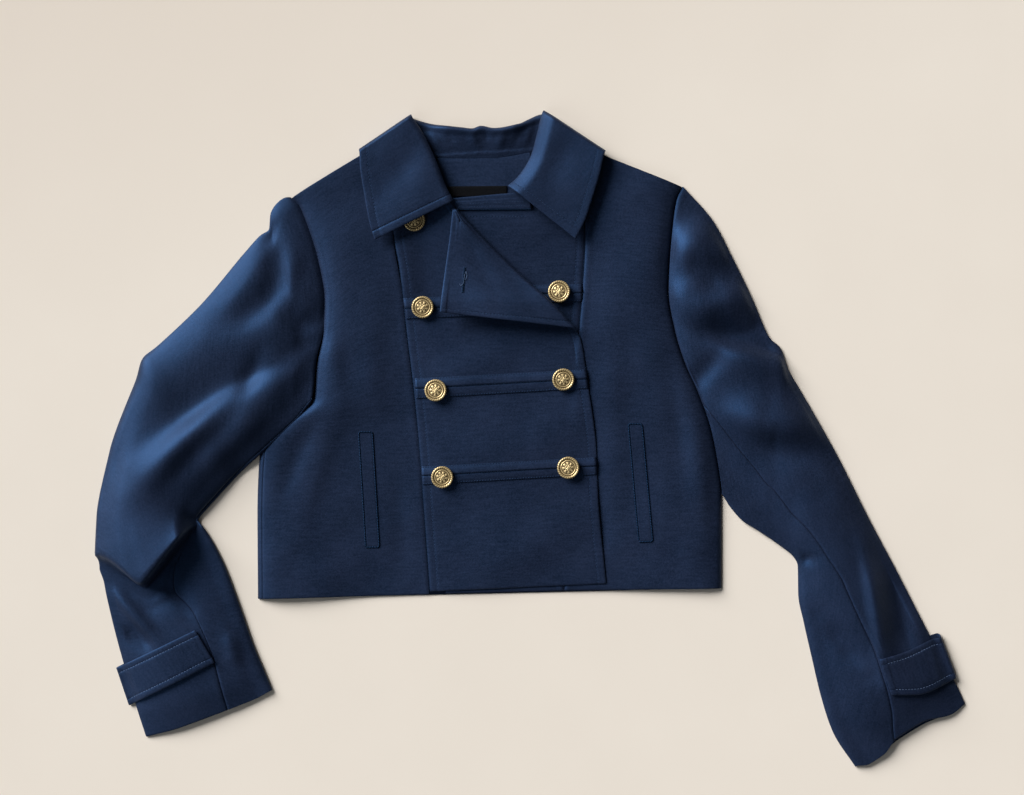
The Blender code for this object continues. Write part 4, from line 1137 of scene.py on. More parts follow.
# %% Sleeve surface
# Share of the elbow's slide at each share of the width.
SLIDE = curve((0.0, 0.076, 0.207, 0.30, 0.343, 0.40, 0.671, 0.96, 1.0),
              (0.0, 0.17, 0.61, 0.94, 1.0, 0.93, 0.48, 0.03, 0.0))
STACK_IN, STACK_OUT, STACK_EDGE = 0.46, 0.20, 0.42    # stacked elbow: rise, fall, height at its edge
UNDER_LIFT, UNDER_LIFT_RUN = 0.80, 0.13     # share where the sleeve climbs on to the front
TOP_LIFT, TOP_LIFT_RUN = 0.60, 0.18         # the same for the upper side
ROLLED_FROM, ROLLED_EDGE, ROLL_BULGE = 0.88, 1.5, 1.7    # rolled inner edge
TUCKED_SEAM, TUCKED_RUN = 0.95, 0.1         # a seam past this share hides the under piece
ARMHOLE_GAP = 0.5                 # sleeve edge to front edge in the armhole seam
CUFF_RUN = 1.6                    # sections over which the cuff's bow sets in
OUTER_FADE, INNER_FADE = 0.05, 0.07    # shares of the width where folds die out
SLEEVE_WAVE, HEAD_FADE = 0.5, 3.0      # waviness; how fast folds set in below the armhole
MEASURED_SHARES = (0.05, 0.5, 0.95)    # lines along which a sleeve's length is measured


class Sleeve:
    """A sleeve's surfaces by place along it (section number) and share of its width."""

    def __init__(self, rows, armhole, folds, away, bow, floor_bow, arch, pressed):
        self.last = len(rows) - 1
        self.armhole, self.folds, self.away = armhole, folds, away
        self.bow, self.floor_bow, self.arch, self.pressed = (
            curve(*zip(*table)) for table in (bow, floor_bow, arch, pressed))
        self.value = {name: curve(range(len(rows)), [getattr(row, name) for row in rows])
                      for name in SleeveSection._fields}

    def chord(self, place):
        """Outer and inner end of a section."""
        outer = np.stack([self.value["outer_x"](place), self.value["outer_y"](place)], axis=-1)
        inner = np.stack([self.value["inner_x"](place), self.value["inner_y"](place)], axis=-1)
        return outer, inner

    def width(self, place):
        outer, inner = self.chord(place)
        return np.linalg.norm(inner - outer, axis=-1)

    def plan(self, place, share, folded=True):
        """Plan point; folded slides the elbow's cloth towards the cuff."""
        outer, inner = self.chord(place)
        first, last = self.chord(np.zeros_like(place))
        inside = np.clip(share, 0.0, 1.0)[..., None]
        run = inner - outer
        point = outer + run * share[..., None]
        arm = self.armhole(inside[..., 0])
        point = point + self.value["cap"](place)[..., None] * (arm - first - (last - first) * inside)
        point[..., 0] += self.away * ARMHOLE_GAP
        unit = run / np.linalg.norm(run, axis=-1, keepdims=True)
        cuffwards = np.stack([-unit[..., 1], unit[..., 0]], axis=-1) * -self.away
        inside = inside[..., 0]
        shift = (self.bow if folded else self.floor_bow)(inside)
        shift = shift * ease((place - self.last + CUFF_RUN) / CUFF_RUN)
        if folded:
            shift = shift + self.value["reach"](place) * SLIDE(inside)
        return point + cuffwards * shift[..., None]

    def outwards(self, place):
        """Direction across the sleeve, from inner to outer edge."""
        outer, inner = self.chord(place)
        return (outer - inner) / np.linalg.norm(outer - inner, axis=-1, keepdims=True)

    def under_lift(self, place, share):
        """How far the floor side climbs on to the front."""
        return self.value["lift"](place) * ease((share - UNDER_LIFT) / UNDER_LIFT_RUN)

    def top_height(self, place, share, shown=1.0, soften=0):
        """Height of the upper side, with its roundness, folds and stacked elbow."""
        inside = np.clip(share, 0.0, 1.0)
        point = self.plan(place, inside)
        puff = self.value["rise"](place) * np.sin(math.pi * inside) ** self.arch(place)
        field = fold_field(self.folds, point[..., 0], point[..., 1])
        field = field + unevenness(point[..., 0], point[..., 1], SLEEVE_WAVE)
        field = field * (1.0 - bell(inside, OUTER_FADE)) * (1.0 - bell(1.0 - inside, INNER_FADE))
        puff = puff + smooth(field * ease(place * HEAD_FADE), soften)
        climb = np.sin(0.5 * math.pi * np.clip(inside / STACK_IN, 0.0, 1.0))
        slope = STACK_EDGE + (1.0 - STACK_EDGE) * climb
        puff = puff + self.value["stack"](place) * slope * ease((1.0 - inside) / STACK_OUT)
        rolled = ROLLED_EDGE * ease((inside - ROLLED_FROM) / (1.0 - ROLLED_FROM))
        lying = SOLID_FLOOR + self.value["lift"](place) * ease((inside - TOP_LIFT) / TOP_LIFT_RUN)
        return lying + SOLID_STEP + rolled + shown * np.maximum(0.0, puff)

    def places(self, step):
        """Section numbers at even distances along the cloth, folds unrolled."""
        dense = np.linspace(0.0, self.last, 3000)
        length = np.zeros(len(dense))
        for share in MEASURED_SHARES:
            column = np.full_like(dense, share)
            point = self.plan(dense, column)
            rise = self.top_height(dense, column)
            line = np.concatenate([point, rise[:, None]], axis=-1)
            steps = np.linalg.norm(np.diff(line, axis=0), axis=-1)
            length[1:] += np.cumsum(steps) / len(MEASURED_SHARES)
        ends = spread(length[-1], SEAM, FOLDED, int(length[-1] / step))
        return np.interp(ends, length, dense), ends, length[-1] - ends


def armhole_of(rows, side, foot):
    """Armhole edge of a front by share from shoulder to underarm."""
    numbers = range(len(rows))
    edge_x = curve(numbers, [getattr(row, side + "_x") for row in rows])
    edge_y = curve(numbers, [getattr(row, side + "_y") for row in rows])
    top = len(rows) - 1

    def at(share):
        place = top + (foot - top) * share
        return np.stack([edge_x(place), edge_y(place)], axis=-1)
    return at


# %% [markdown]
# ## Top sleeve
# The top piece starts a little way in on the floor side, rolls round the outer edge and covers
# the sleeve up to the front seam. A roll is a half turn of a few columns between two edges.

# %% Top sleeve
SLEEVE_STEP = 2.8
OUTER_SHARES = (0.10, 0.05, 0.02, 0.0)      # columns on the floor side
ROLL_STEPS = 5
TOP_NEAR = (0.0, 0.6, 1.5, 3.0, 5.0, 7.5)
DITCH_DEPTH, DITCH_SIDE = 0.80, 0.12        # front seam, and the low ridge beside it


def rolled_edge(edge, out, low, high, bulge):
    """Columns of points that turn from the floor side to the upper side."""
    columns = []
    for step in range(1, ROLL_STEPS):
        angle = math.pi * step / ROLL_STEPS
        rise = low + (high - low) * 0.5 * (1.0 - math.cos(angle))
        columns.append(np.column_stack([edge + out * (bulge * math.sin(angle))[:, None], rise]))
    return np.stack(columns, axis=1)


def top_sleeve(sleeve):
    """From the floor side, round the outer edge, to the front seam."""
    place, from_armhole, from_cuff = sleeve.places(SLEEVE_STEP)
    width = sleeve.width(place)
    seam = sleeve.value["seam"](place)
    count = int((width * seam).max() / SLEEVE_STEP)
    across = np.stack([spread(w * s, TOP_NEAR, SEAM, count) for w, s in zip(width, seam)])
    share = across / width[:, None]
    at = np.repeat(place[:, None], share.shape[1], axis=1)
    point = sleeve.plan(at, share)
    height = sleeve.top_height(at, share, soften=6)
    from_seam = (width * seam)[:, None] - across
    ditch = DITCH_SIDE * bell(from_seam - 4.0, 2.4) - DITCH_DEPTH * bell(from_seam, 0.8)
    height = height + ditch * sleeve.pressed(place)[:, None]
    height = height + seam_dip(from_armhole)[:, None] + folded_edge(from_cuff)[:, None]
    low, high = np.full_like(place, CLOTH / 2.0), height[:, 0]
    floor_side = [np.column_stack([sleeve.plan(place, np.full_like(place, part), folded=False), low])
                  for part in OUTER_SHARES]
    grid = np.concatenate([
        np.stack(floor_side, axis=1),
        rolled_edge(point[:, 0], sleeve.outwards(place), low, high, (high - low) * 0.5),
        np.concatenate([point, height[..., None]], axis=-1)], axis=1)
    return grid[..., 0], grid[..., 1], grid[..., 2]


# %% [markdown]
# ## Under sleeve
# The under piece lies on the floor, rolls round the inner edge and comes up to meet the top piece
# at the front seam, where it is tucked a little below. Inside the folded elbow it would only pile
# up unseen, so those rows are skipped.

# %% Under sleeve
UNDER_STEP = SLEEVE_STEP * 1.3
FLOOR_SHARES = np.concatenate([np.linspace(0.12, 0.80, 16), np.linspace(0.83, 1.0, 10)])
UNDER_NEAR = (0.0, 0.6, 1.5, 3.0)
SEAM_LAP = 1.2                    # how far the under piece runs in below the top one
TUCK = 1.35                       # how far it dips there


def under_sleeve(sleeve, skip=None):
    """Along the floor, round the inner edge and up to the front seam."""
    place = sleeve.places(UNDER_STEP)[0]
    if skip is not None:
        place = place[(place < skip[0]) | (place > skip[1])]
    seam = sleeve.value["seam"](place)
    width = sleeve.width(place)
    at = np.repeat(place[:, None], len(FLOOR_SHARES), axis=1)
    share = np.repeat(FLOOR_SHARES[None, :], len(place), axis=0)
    flat = sleeve.plan(at, share, folded=False)
    flat_z = sleeve.under_lift(at, share) + CLOTH / 2.0
    end = np.maximum(seam - SEAM_LAP / width, 0.0)
    shown_width = (1.0 - end) * width
    count = int(shown_width.max() / SLEEVE_STEP) + 2
    back = np.stack([spread(shown, UNDER_NEAR, SEAM, count) for shown in shown_width])
    top_share = 1.0 - back / width[:, None]
    at_top = np.repeat(place[:, None], top_share.shape[1], axis=1)
    top = sleeve.plan(at_top, top_share)
    tucked = ease((TUCKED_SEAM - seam) / TUCKED_RUN)
    top_z = sleeve.top_height(at_top, top_share, shown=tucked[:, None])
    from_end = shown_width[:, None] - back
    pressed = sleeve.pressed(place)[:, None]
    top_z = top_z - TUCK * ease((1.6 + 0.8 * pressed - from_end) / (0.5 + 0.9 * pressed))
    inner = flat[:, -1]
    ahead = np.gradient(inner, axis=0)
    ahead = ahead / np.maximum(np.linalg.norm(ahead, axis=-1, keepdims=True), 1.0e-9)
    out = np.stack([-ahead[:, 1], ahead[:, 0]], axis=-1) * sleeve.away
    grid = np.concatenate([
        np.concatenate([flat, flat_z[..., None]], axis=-1),
        rolled_edge(inner, out, flat_z[:, -1], top_z[:, 0], ROLL_BULGE * ease(place)),
        np.concatenate([top, top_z[..., None]], axis=-1)], axis=1)
    return grid[..., 0], grid[..., 1], grid[..., 2]


# %% [markdown]
# ## Both sleeves
# The tables that are left tell how round a sleeve is along its length, how its cuff bows, and
# where its front seam is pressed flat. Then both sleeves are laid, each under piece first.

# %% Both sleeves
ARCH_RIGHT = [(0.0, 0.85), (7.0, 0.85), (9.0, 0.58), (10.5, 0.58), (12.0, 1.0), (14.0, 1.0),
              (17.0, 0.70), (22.0, 0.70)]
ARCH_LEFT = [(0.0, 0.80), (15.0, 0.80)]
BOW_RIGHT = [(0.0, 0.0), (0.28, 3.0), (0.65, 2.8), (0.85, 2.5), (1.0, 0.0)]
BOW_LEFT = [(0.0, 0.0), (0.11, 2.0), (0.38, -6.5), (0.60, -5.5), (0.77, 3.0), (0.91, 4.5), (1.0, 0.0)]
FLOOR_BOW_LEFT = [(0.0, 0.0), (0.11, 1.0), (0.38, -2.6), (0.60, -1.6), (0.77, 2.0), (0.91, 4.0),
                  (1.0, 0.0)]
PRESSED_RIGHT = [(0.0, 0.2), (19.4, 0.2), (20.2, 1.0), (22.0, 1.0)]
PRESSED_LEFT = [(0.0, 1.0), (15.0, 1.0)]
RIGHT_FOOT, LEFT_FOOT = 4, 2      # sections of the fronts at the underarm
HIDDEN_FOLD = (13.0, 16.0)        # sections inside the folded elbow
sleeve_right = Sleeve(SLEEVE_RIGHT, armhole_of(FRONT_RIGHT_SIDE, "left", RIGHT_FOOT), FOLDS_RIGHT, -1.0,
                      BOW_RIGHT, BOW_RIGHT, ARCH_RIGHT, PRESSED_RIGHT)
sleeve_left = Sleeve(SLEEVE_LEFT, armhole_of(FRONT_LEFT_SIDE, "right", LEFT_FOOT), FOLDS_LEFT, 1.0,
                     BOW_LEFT, FLOOR_BOW_LEFT, ARCH_LEFT, PRESSED_LEFT)
lay_sheet("sleeve_right_under", under_sleeve(sleeve_right, HIDDEN_FOLD), ["floor"])
lay_sheet("sleeve_right_top", top_sleeve(sleeve_right), ["floor"])
lay_sheet("sleeve_left_under", under_sleeve(sleeve_left), ["floor"])
lay_sheet("sleeve_left_top", top_sleeve(sleeve_left), ["floor"])

# %% [markdown]
# ## Cuff tabs
# A strap lies on each cuff, sewn at one side and wrapped round the outer edge of the sleeve.
# It is two layers thick and topstitched along both sides. The layers could be modelled one by one,
# but only their edge shows, so one thicker wall stands for both.

# %% Tabs
Tab = namedtuple("Tab", "carrier rows end_height bulge askew")
TABS = {
    "cuff_tab_right": Tab("sleeve_right_top", [
        Section(197.0, 629.0, 216.0, 661.0), Section(160.0, 647.0, 176.0, 681.5),
        Section(128.0, 662.5, 141.5, 698.5), Section(118.5, 667.0, 131.0, 704.0)], 3.2, 1.2, 0.6),
    "cuff_tab_left": Tab("sleeve_left_top", [
        Section(876.0, 657.0, 888.0, 692.0), Section(903.0, 650.0, 914.0, 692.0),
        Section(930.0, 639.0, 942.0, 683.0), Section(937.5, 637.5, 953.0, 678.0)], 6.0, 2.4, 4.5),
}
TAB_WALL = 1.6
WRAP_STEPS = 6
WRAP_BACK = (5.0, 11.0)           # rows below the sleeve
PAST_SLEEVE = 2.0                 # height taken where the strap runs past the sleeve
TAB_CROWN, END_RUN = 1.2, 14.0


def wrap_round(tab, bulge, askew):
    """Carry a strap round its end and back below, a little askew."""
    last = np.stack([tab.x[-1], tab.y[-1]], axis=-1)
    ahead = last - np.stack([tab.x[-3], tab.y[-3]], axis=-1)
    ahead = (ahead / np.linalg.norm(ahead, axis=-1, keepdims=True)).mean(axis=0)
    upwards = (last[0] - last[-1]) / np.linalg.norm(last[0] - last[-1])
    low = TAB_WALL / 2.0
    rows = []
    for step in range(1, WRAP_STEPS + 1):
        turn = step / WRAP_STEPS
        place = last + ahead * bulge * math.sin(math.pi * turn) + upwards * askew * float(ease(turn))
        height = low + (tab.z[-1] - low) * 0.5 * (1.0 + math.cos(math.pi * turn))
        rows.append((place[:, 0], place[:, 1], height))
    for back in WRAP_BACK:
        place = last - ahead * back + upwards * askew
        rows.append((place[:, 0], place[:, 1], np.full_like(tab.z[-1], low)))
    tab.x, tab.y, tab.z = (np.concatenate([old, np.stack(new)])
                           for old, new in zip((tab.x, tab.y, tab.z), zip(*rows)))


tabs = []
for node, cut in TABS.items():
    tab = Panel(cut.rows, 2.2, left=NEAR_STITCHED, right=NEAR_STITCHED, hem=NEAR_STITCHED, top=FOLDED)
    under_tab = under_middle((cut.carrier,), tab.x, tab.y, 4.0)
    under_tab[under_tab < 0.0] = PAST_SLEEVE
    tab.z = np.maximum(smooth(under_tab, 40) + 2.4, smooth(under_tab, 2) + 1.5)
    tab.z += TAB_CROWN * np.sin(math.pi * np.clip(tab.hem / tab.hem[-1, 0], 0, 1))
    tab.z += (cut.end_height - tab.z) * ease((END_RUN - tab.top) / END_RUN)
    edge = np.minimum(tab.left, tab.right)
    tab.z += folded_edge(edge) + stitched(edge, STITCH_NEAR) + folded_edge(tab.hem)
    wrap_round(tab, cut.bulge, cut.askew)
    tab.sheet(node, [cut.carrier], wall=TAB_WALL)
    tabs.append(tab)

# %% [markdown]
# ## Collar
# One strip of cloth makes the whole collar: the right fall, the part behind the neck, and the
# left fall. It could be three pieces, but a real collar is one, and the strip shows how it turns.
# Each station is one line across it, from the crease at the neck to the outer edge.

# %% Collar stations
CollarStation = namedtuple("CollarStation", "crease_x crease_y edge_x edge_y")
COLLAR = [
    CollarStation(454.0, 202.0, 376.0, 241.0), CollarStation(447.0, 189.0, 371.0, 225.0),
    CollarStation(436.0, 161.0, 366.0, 198.0), CollarStation(424.0, 136.0, 361.5, 168.0),
    CollarStation(413.0, 119.5, 361.0, 154.5), CollarStation(411.5, 117.5, 360.0, 152.5),
    CollarStation(413.0, 119.5, 361.0, 154.5), CollarStation(421.0, 123.5, 385.0, 185.0),
    CollarStation(440.0, 128.5, 420.0, 203.0), CollarStation(465.0, 131.0, 455.0, 210.0),
    CollarStation(481.0, 130.0, 481.0, 212.0), CollarStation(505.0, 130.5, 515.0, 209.0),
    CollarStation(525.0, 124.5, 548.0, 198.0), CollarStation(536.5, 118.5, 580.0, 180.0),
    CollarStation(542.0, 115.5, 603.5, 155.5), CollarStation(543.5, 113.5, 605.0, 154.0),
    CollarStation(542.0, 115.5, 603.5, 155.5), CollarStation(536.0, 139.0, 598.0, 178.0),
    CollarStation(531.0, 157.0, 592.0, 198.0), CollarStation(518.0, 178.0, 584.0, 222.0),
    CollarStation(508.0, 187.0, 575.0, 240.0),
]
print("stations:", len(COLLAR))

# %% [markdown]
# ## Grid of the collar
# Between the stations the grid is close at the edges, where the stitching lies, and at the two
# shoulder folds, where the strip turns under.

# %% Collar grid
RIGHT_FOLD, LEFT_FOLD = 5, 15     # stations at the two shoulder folds
COLLAR_STEP, COLLAR_COLUMNS = 2.4, 24
COLLAR_NEAR = (0.0, 0.6, 1.5, 2.8, 4.5, 6.5, 9.0)
FOLD_LINES = 17                   # extra lines round each shoulder fold
SPACER = 0.004                    # keeps distances growing where stations fall together


def collar_plan():
    """Places along the strip, plan points, and distances to crease, outer edge and front edge."""
    dense = np.linspace(0.0, len(COLLAR) - 1.0, 2400)
    ends = [curve(range(len(COLLAR)), column) for column in zip(*COLLAR)]
    crease_x, crease_y, edge_x, edge_y = (end(dense) for end in ends)
    middle = np.stack([(crease_x + edge_x) / 2.0, (crease_y + edge_y) / 2.0], axis=-1)
    steps = np.linalg.norm(np.diff(middle, axis=0), axis=-1) + SPACER
    along = np.concatenate([[0.0], np.cumsum(steps)])
    down = spread(along[-1], FAR_STITCHED, FAR_STITCHED, int(along[-1] / COLLAR_STEP))
    place = np.interp(down, along, dense)
    extra = np.concatenate([np.linspace(fold - 1.0, fold + 1.0, FOLD_LINES)
                            for fold in (RIGHT_FOLD, LEFT_FOLD)])
    place = np.unique(np.round(np.concatenate([place, extra]), 4))
    crease_x, crease_y, edge_x, edge_y = (end(place) for end in ends)
    widths = np.hypot(edge_x - crease_x, edge_y - crease_y)
    across = np.stack([spread(width, COLLAR_NEAR, FAR_STITCHED, COLLAR_COLUMNS) for width in widths])
    share = across / widths[:, None]
    x = crease_x[:, None] + (edge_x - crease_x)[:, None] * share
    y = crease_y[:, None] + (edge_y - crease_y)[:, None] * share
    walked = np.interp(place, dense, along)
    from_front = np.minimum(walked, along[-1] - walked)
    return place, x, y, across, widths[:, None] - across, from_front[:, None] + 0.0 * x


collar_place, collar_x, collar_y, from_crease, from_edge, from_front = collar_plan()
print("collar grid:", collar_x.shape)

# %% [markdown]
# ## Falls of the collar
# The two falls lie on the fronts. They roll over at the crease, stand off the fronts at their outer
# edge, so that they throw a shadow, and are topstitched all round.

# %% Falls of the collar
Fall = namedtuple("Fall", "rows groove stand_off run")
FALLS = [
    Fall(np.where(collar_place <= RIGHT_FOLD - 1.0)[0], 0.42, 4.0, 66.0),
    Fall(np.where(collar_place >= LEFT_FOLD + 1.0)[0], 0.10, 5.0, 14.0),
]
COLLAR_LEVEL = 0.6                # share of the falls' own slope that is taken out
COLLAR_CROWN, CROWN_RUN = 2.0, 90.0    # extra height towards the shoulder folds
CREASE_DROP, CREASE_RUN = 2.2, 4.5
COLLAR_FOLDS = [
    Fold([(424, 132), (410, 160), (388, 186)], 14.0, 15.0, -1.4),
    Fold([(444, 166), (420, 188), (392, 216)], 16.0, 16.0, 0.5),
    Fold([(570, 136), (556, 166), (536, 190)], 14.0, 14.0, -1.3),
    Fold([(594, 164), (572, 196), (552, 220)], 16.0, 16.0, 0.5),
]
BELOW_COLLAR = ("front_right_side", "front_right_placket", "front_left_side", "front_left_placket",
                "neckband_left", "collar_stand", "back_facing", "label")
collar_z = np.full_like(collar_x, CLOTH / 2.0)
for fall in FALLS:
    fall_x, fall_y = collar_x[fall.rows], collar_y[fall.rows]
    crease, front, edge = from_crease[fall.rows], from_front[fall.rows], from_edge[fall.rows]
    fall_z = smooth(solid_middle("collar_fall", fall_x, fall_y), 16)
    fall_z = clear_of(BELOW_COLLAR, fall_x, fall_y, fall_z)
    fall_z = fall_z + COLLAR_LEVEL * (fall_z.max() - fall_z)
    fall_z += fold_field(COLLAR_FOLDS, fall_x, fall_y) + unevenness(fall_x, fall_y, 0.2)
    fall_z -= CREASE_DROP * np.clip(1.0 - crease / CREASE_RUN, 0.0, 1.0) ** 2
    fall_z += stitched(front, STITCH_FAR, fall.groove)
    fall_z += stitched(edge, STITCH_FAR, 0.09) * ease((front - 6.0) / 6.0)
    fall_z += folded_edge(np.minimum(edge, front))
    fall_z += fall.stand_off * ease(crease / fall.run)
    collar_z[fall.rows] = fall_z + COLLAR_CROWN * ease(front / CROWN_RUN)
print("falls reach", round(float(collar_z.max()), 1), "mm")

# %% [markdown]
# ## Shoulder folds of the collar
# At the shoulders the strip turns under and runs on behind the neck, flat on the floor. The rows
# near each fold follow half a turn between the two layers.

# %% Shoulder folds
SHOULDER_FOLD = 1.8               # how far the turn bulges
collar_low = CLOTH / 2.0
for fold, fall_row, way in ((RIGHT_FOLD, FALLS[0].rows[-1], 1.0), (LEFT_FOLD, FALLS[1].rows[0], -1.0)):
    for row in np.where(np.abs(collar_place - fold) < 1.0)[0]:
        turn = math.pi * (0.5 + 0.5 * (collar_place[row] - fold) * way)
        collar_z[row] = collar_low + (collar_z[fall_row] - collar_low) * 0.5 * (1.0 + math.cos(turn))
        collar_y[row] -= SHOULDER_FOLD * math.sin(turn)
lay_sheet("collar_fall", (collar_x, collar_y, collar_z), ["front_right_side", "front_left_side"])

# %% [markdown]
# ## Profile and relief of a button
# A button is cast with a rope round its rim, a ring of beads and a plain rosette. These could be
# modelled one by one; a rule that gives each point of the crown its height is shorter and lets
# every part run into the next. It also says how deep a point lies, for the dark hollows.

# %% Button profile
Turning = namedtuple("Turning", "radius height")
BUTTON_PROFILE = [
    Turning(0.05, 4.55), Turning(0.7, 4.52), Turning(1.4, 4.46), Turning(2.1, 4.40),
    Turning(2.8, 4.32), Turning(3.5, 4.22), Turning(4.2, 4.12), Turning(4.9, 4.00),
    Turning(5.6, 3.86), Turning(6.1, 3.74), Turning(6.4, 3.60), Turning(6.7, 3.66),
    Turning(7.0, 3.86), Turning(7.3, 3.88), Turning(7.6, 3.66), Turning(7.9, 3.42),
    Turning(8.3, 3.40), Turning(8.6, 3.66), Turning(8.9, 4.02), Turning(9.3, 4.26),
    Turning(9.8, 4.34), Turning(10.3, 4.24), Turning(10.7, 3.92), Turning(10.95, 3.45),
    Turning(11.0, 2.8), Turning(10.8, 2.0), Turning(9.6, 1.0), Turning(6.0, 0.45),
    Turning(2.0, 0.05), Turning(0.05, 0.0),
]
ROPE_TURNS, BEADS, PETALS = 28, 42, 8


def relief(radius, angle):
    """Raised pattern of the crown, and how deep the point lies in it."""
    if radius > 8.5:
        rope = math.sin(ROPE_TURNS * angle + radius * 1.6)
        return 0.16 * rope, 0.45 - 0.45 * rope
    if radius > 7.7:
        return 0.0, 1.0
    if radius > 6.5:
        bead = math.cos(BEADS * angle)
        return 0.08 * bead, 0.35 - 0.3 * bead
    if radius > 6.05:
        return -0.05, 0.95
    petal = math.cos(PETALS * angle)
    outer = math.exp(-((radius - 4.3) / 1.2) ** 2) * petal
    inner = -math.exp(-((radius - 2.1) / 0.8) ** 2) * petal
    groove = math.exp(-(math.sin(PETALS * angle / 2.0) / 0.16) ** 2)
    vein = -0.35 * math.exp(-(radius - 4.3) ** 2) * groove
    core = math.exp(-(radius / 0.9) ** 2)
    carved = outer + inner + vein + core
    return 0.30 * carved, min(1.0, max(0.0, 0.45 - 0.6 * carved))


print("points of the profile:", len(BUTTON_PROFILE))

# %% [markdown]
# ## Turning a button
# The profile is spun round its axis, as on a lathe. Then the relief moves the points of the
# crown, and an attribute keeps how deep each one lies.

# %% Turned button
SPIN_STEPS = 84
CROWN_FROM = 3.2                  # height above which the relief is cut


def turn_button(name, centre, tilt, spin):
    """Spin the profile, raise the relief and set the button in its place."""
    builder = bmesh.new()
    previous = None
    for row in BUTTON_PROFILE:
        vertex = builder.verts.new((row.radius, 0.0, row.height))
        if previous is not None:
            builder.edges.new((previous, vertex))
        previous = vertex
    bmesh.ops.spin(builder, geom=builder.verts[:] + builder.edges[:], cent=(0, 0, 0), axis=(0, 0, 1),
                   angle=2.0 * math.pi, steps=SPIN_STEPS, use_merge=True)
    bmesh.ops.remove_doubles(builder, verts=builder.verts, dist=0.012)
    bmesh.ops.recalc_face_normals(builder, faces=builder.faces)
    depth = builder.verts.layers.float.new("hollow")
    pose = Matrix.Translation(centre) @ tilt @ Matrix.Rotation(spin, 4, "Z") @ Matrix.Scale(MM, 4)
    for vertex in builder.verts:
        radius = math.hypot(vertex.co.x, vertex.co.y)
        angle = math.atan2(vertex.co.y, vertex.co.x)
        rise, hollow = relief(radius, angle) if vertex.co.z > CROWN_FROM else (0.0, 0.0)
        vertex.co.z += rise
        vertex[depth] = hollow
    builder.transform(pose)
    return place_mesh(name, builder, gold)


# %% [markdown]
# ## Seven buttons
# The buttons hang on thread, so each is turned its own way and leans a little. Each sits at the
# foot of its solid, and takes the solid's place.

# %% Seven buttons
Button = namedtuple("Button", "node x y turn lean")
BUTTONS = [
    Button("button_right_1", 414.6, 221.0, 0.3, 0.02),
    Button("button_right_2", 423.0, 307.5, 1.2, 0.05),
    Button("button_right_3", 436.0, 390.5, 0.7, -0.04),
    Button("button_right_4", 442.5, 476.7, 2.1, 0.04),
    Button("button_left_2", 559.0, 292.0, 0.1, -0.05),
    Button("button_left_3", 563.0, 379.5, 1.7, 0.05),
    Button("button_left_4", 568.0, 467.5, 0.9, -0.03),
]
for place in BUTTONS:
    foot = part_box(place.node)[0][2]
    centre = world(place.x, place.y, foot / MM)
    tilt = Matrix.Rotation(place.lean, 4, "X") @ Matrix.Rotation(place.lean * 0.6, 4, "Y")
    button = turn_button(place.node + "_cast", centre, tilt, place.turn)
    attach(button, "root")
    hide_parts(place.node)
print("buttons:", len(BUTTONS), "of", len(button.data.polygons), "faces")

# %% [markdown]
# ## Stitching
# Topstitching is a row of short threads in its groove. Each stitch is a stretched ball of twenty
# faces, laid along the line of the grid that runs at the stitching's distance from the edge. A
# bump could draw it, but threads of their own catch the light and stay in the mesh.

# %% Stitches
Thread = namedtuple("Thread", "pitch length radius")
TOPSTITCH = Thread(3.1, 2.5, 0.30)


def stitch_line(builder, line, thread=TOPSTITCH):
    """Add a row of stitches along plan points with heights."""
    line = np.asarray(line, dtype=float)
    steps = np.linalg.norm(np.diff(line, axis=0), axis=-1)
    along = np.concatenate([[0.0], np.cumsum(steps)])
    for number in range(int(along[-1] / thread.pitch)):
        start = thread.pitch * (number + 0.5) - thread.length / 2.0
        ends = [world(*(np.interp(at, along, line[:, axis]) for axis in range(3)))
                for at in (start, start + thread.length)]
        run = ends[1] - ends[0]
        turn = run.to_track_quat("X", "Z").to_matrix().to_4x4()
        size = Matrix.Diagonal((run.length / 2.0 * 1.06, thread.radius * MM, thread.radius * MM, 1.0))
        middle = (ends[0] + ends[1]) / 2.0
        bmesh.ops.create_icosphere(builder, subdivisions=1, radius=1.0,
                                   matrix=Matrix.Translation(middle) @ turn @ size)


def on_top(x, y, z, wall=CLOTH):
    """Points on the upper face of a sheet."""
    return np.stack([x, y, z + wall / 2.0 + 0.05], axis=-1)


def line_of(piece, rows, cols, wall=CLOTH):
    """Line of a panel's own grid, on its upper face."""
    return on_top(piece.x[rows, cols], piece.y[rows, cols], piece.z[rows, cols], wall)


def draped_line(name, points, wall=CLOTH, step=2.0):
    """Plan line laid on a sheet."""
    points = np.asarray(points, dtype=float)
    along = np.concatenate([[0.0], np.cumsum(np.linalg.norm(np.diff(points, axis=0), axis=-1))])
    at = np.arange(0.0, along[-1], step)
    x, y = np.interp(at, along, points[:, 0]), np.interp(at, along, points[:, 1])
    z = under_middle((name,), x, y, 0.01)
    keep = z > 0.0
    return on_top(x[keep], y[keep], z[keep], wall)


def finish_stitches(name, builder, finish=navy_thread):
    """Turn rows of stitches into one piece that rides with the blazer."""
    grain = builder.loops.layers.uv.new("grain")
    for face in builder.faces:
        for loop in face.loops:
            loop[grain].uv = (loop.vert.co.x, loop.vert.co.y)
    threads = place_mesh(name, builder, finish)
    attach(threads, "root")
    print(name, len(threads.data.polygons), "faces")


# %% [markdown]
# ## Stitching of the fronts
# Both plackets are topstitched along their edges, and so is the lower edge of the turned-back
# corner. Rows that lie hidden below another piece are left out.

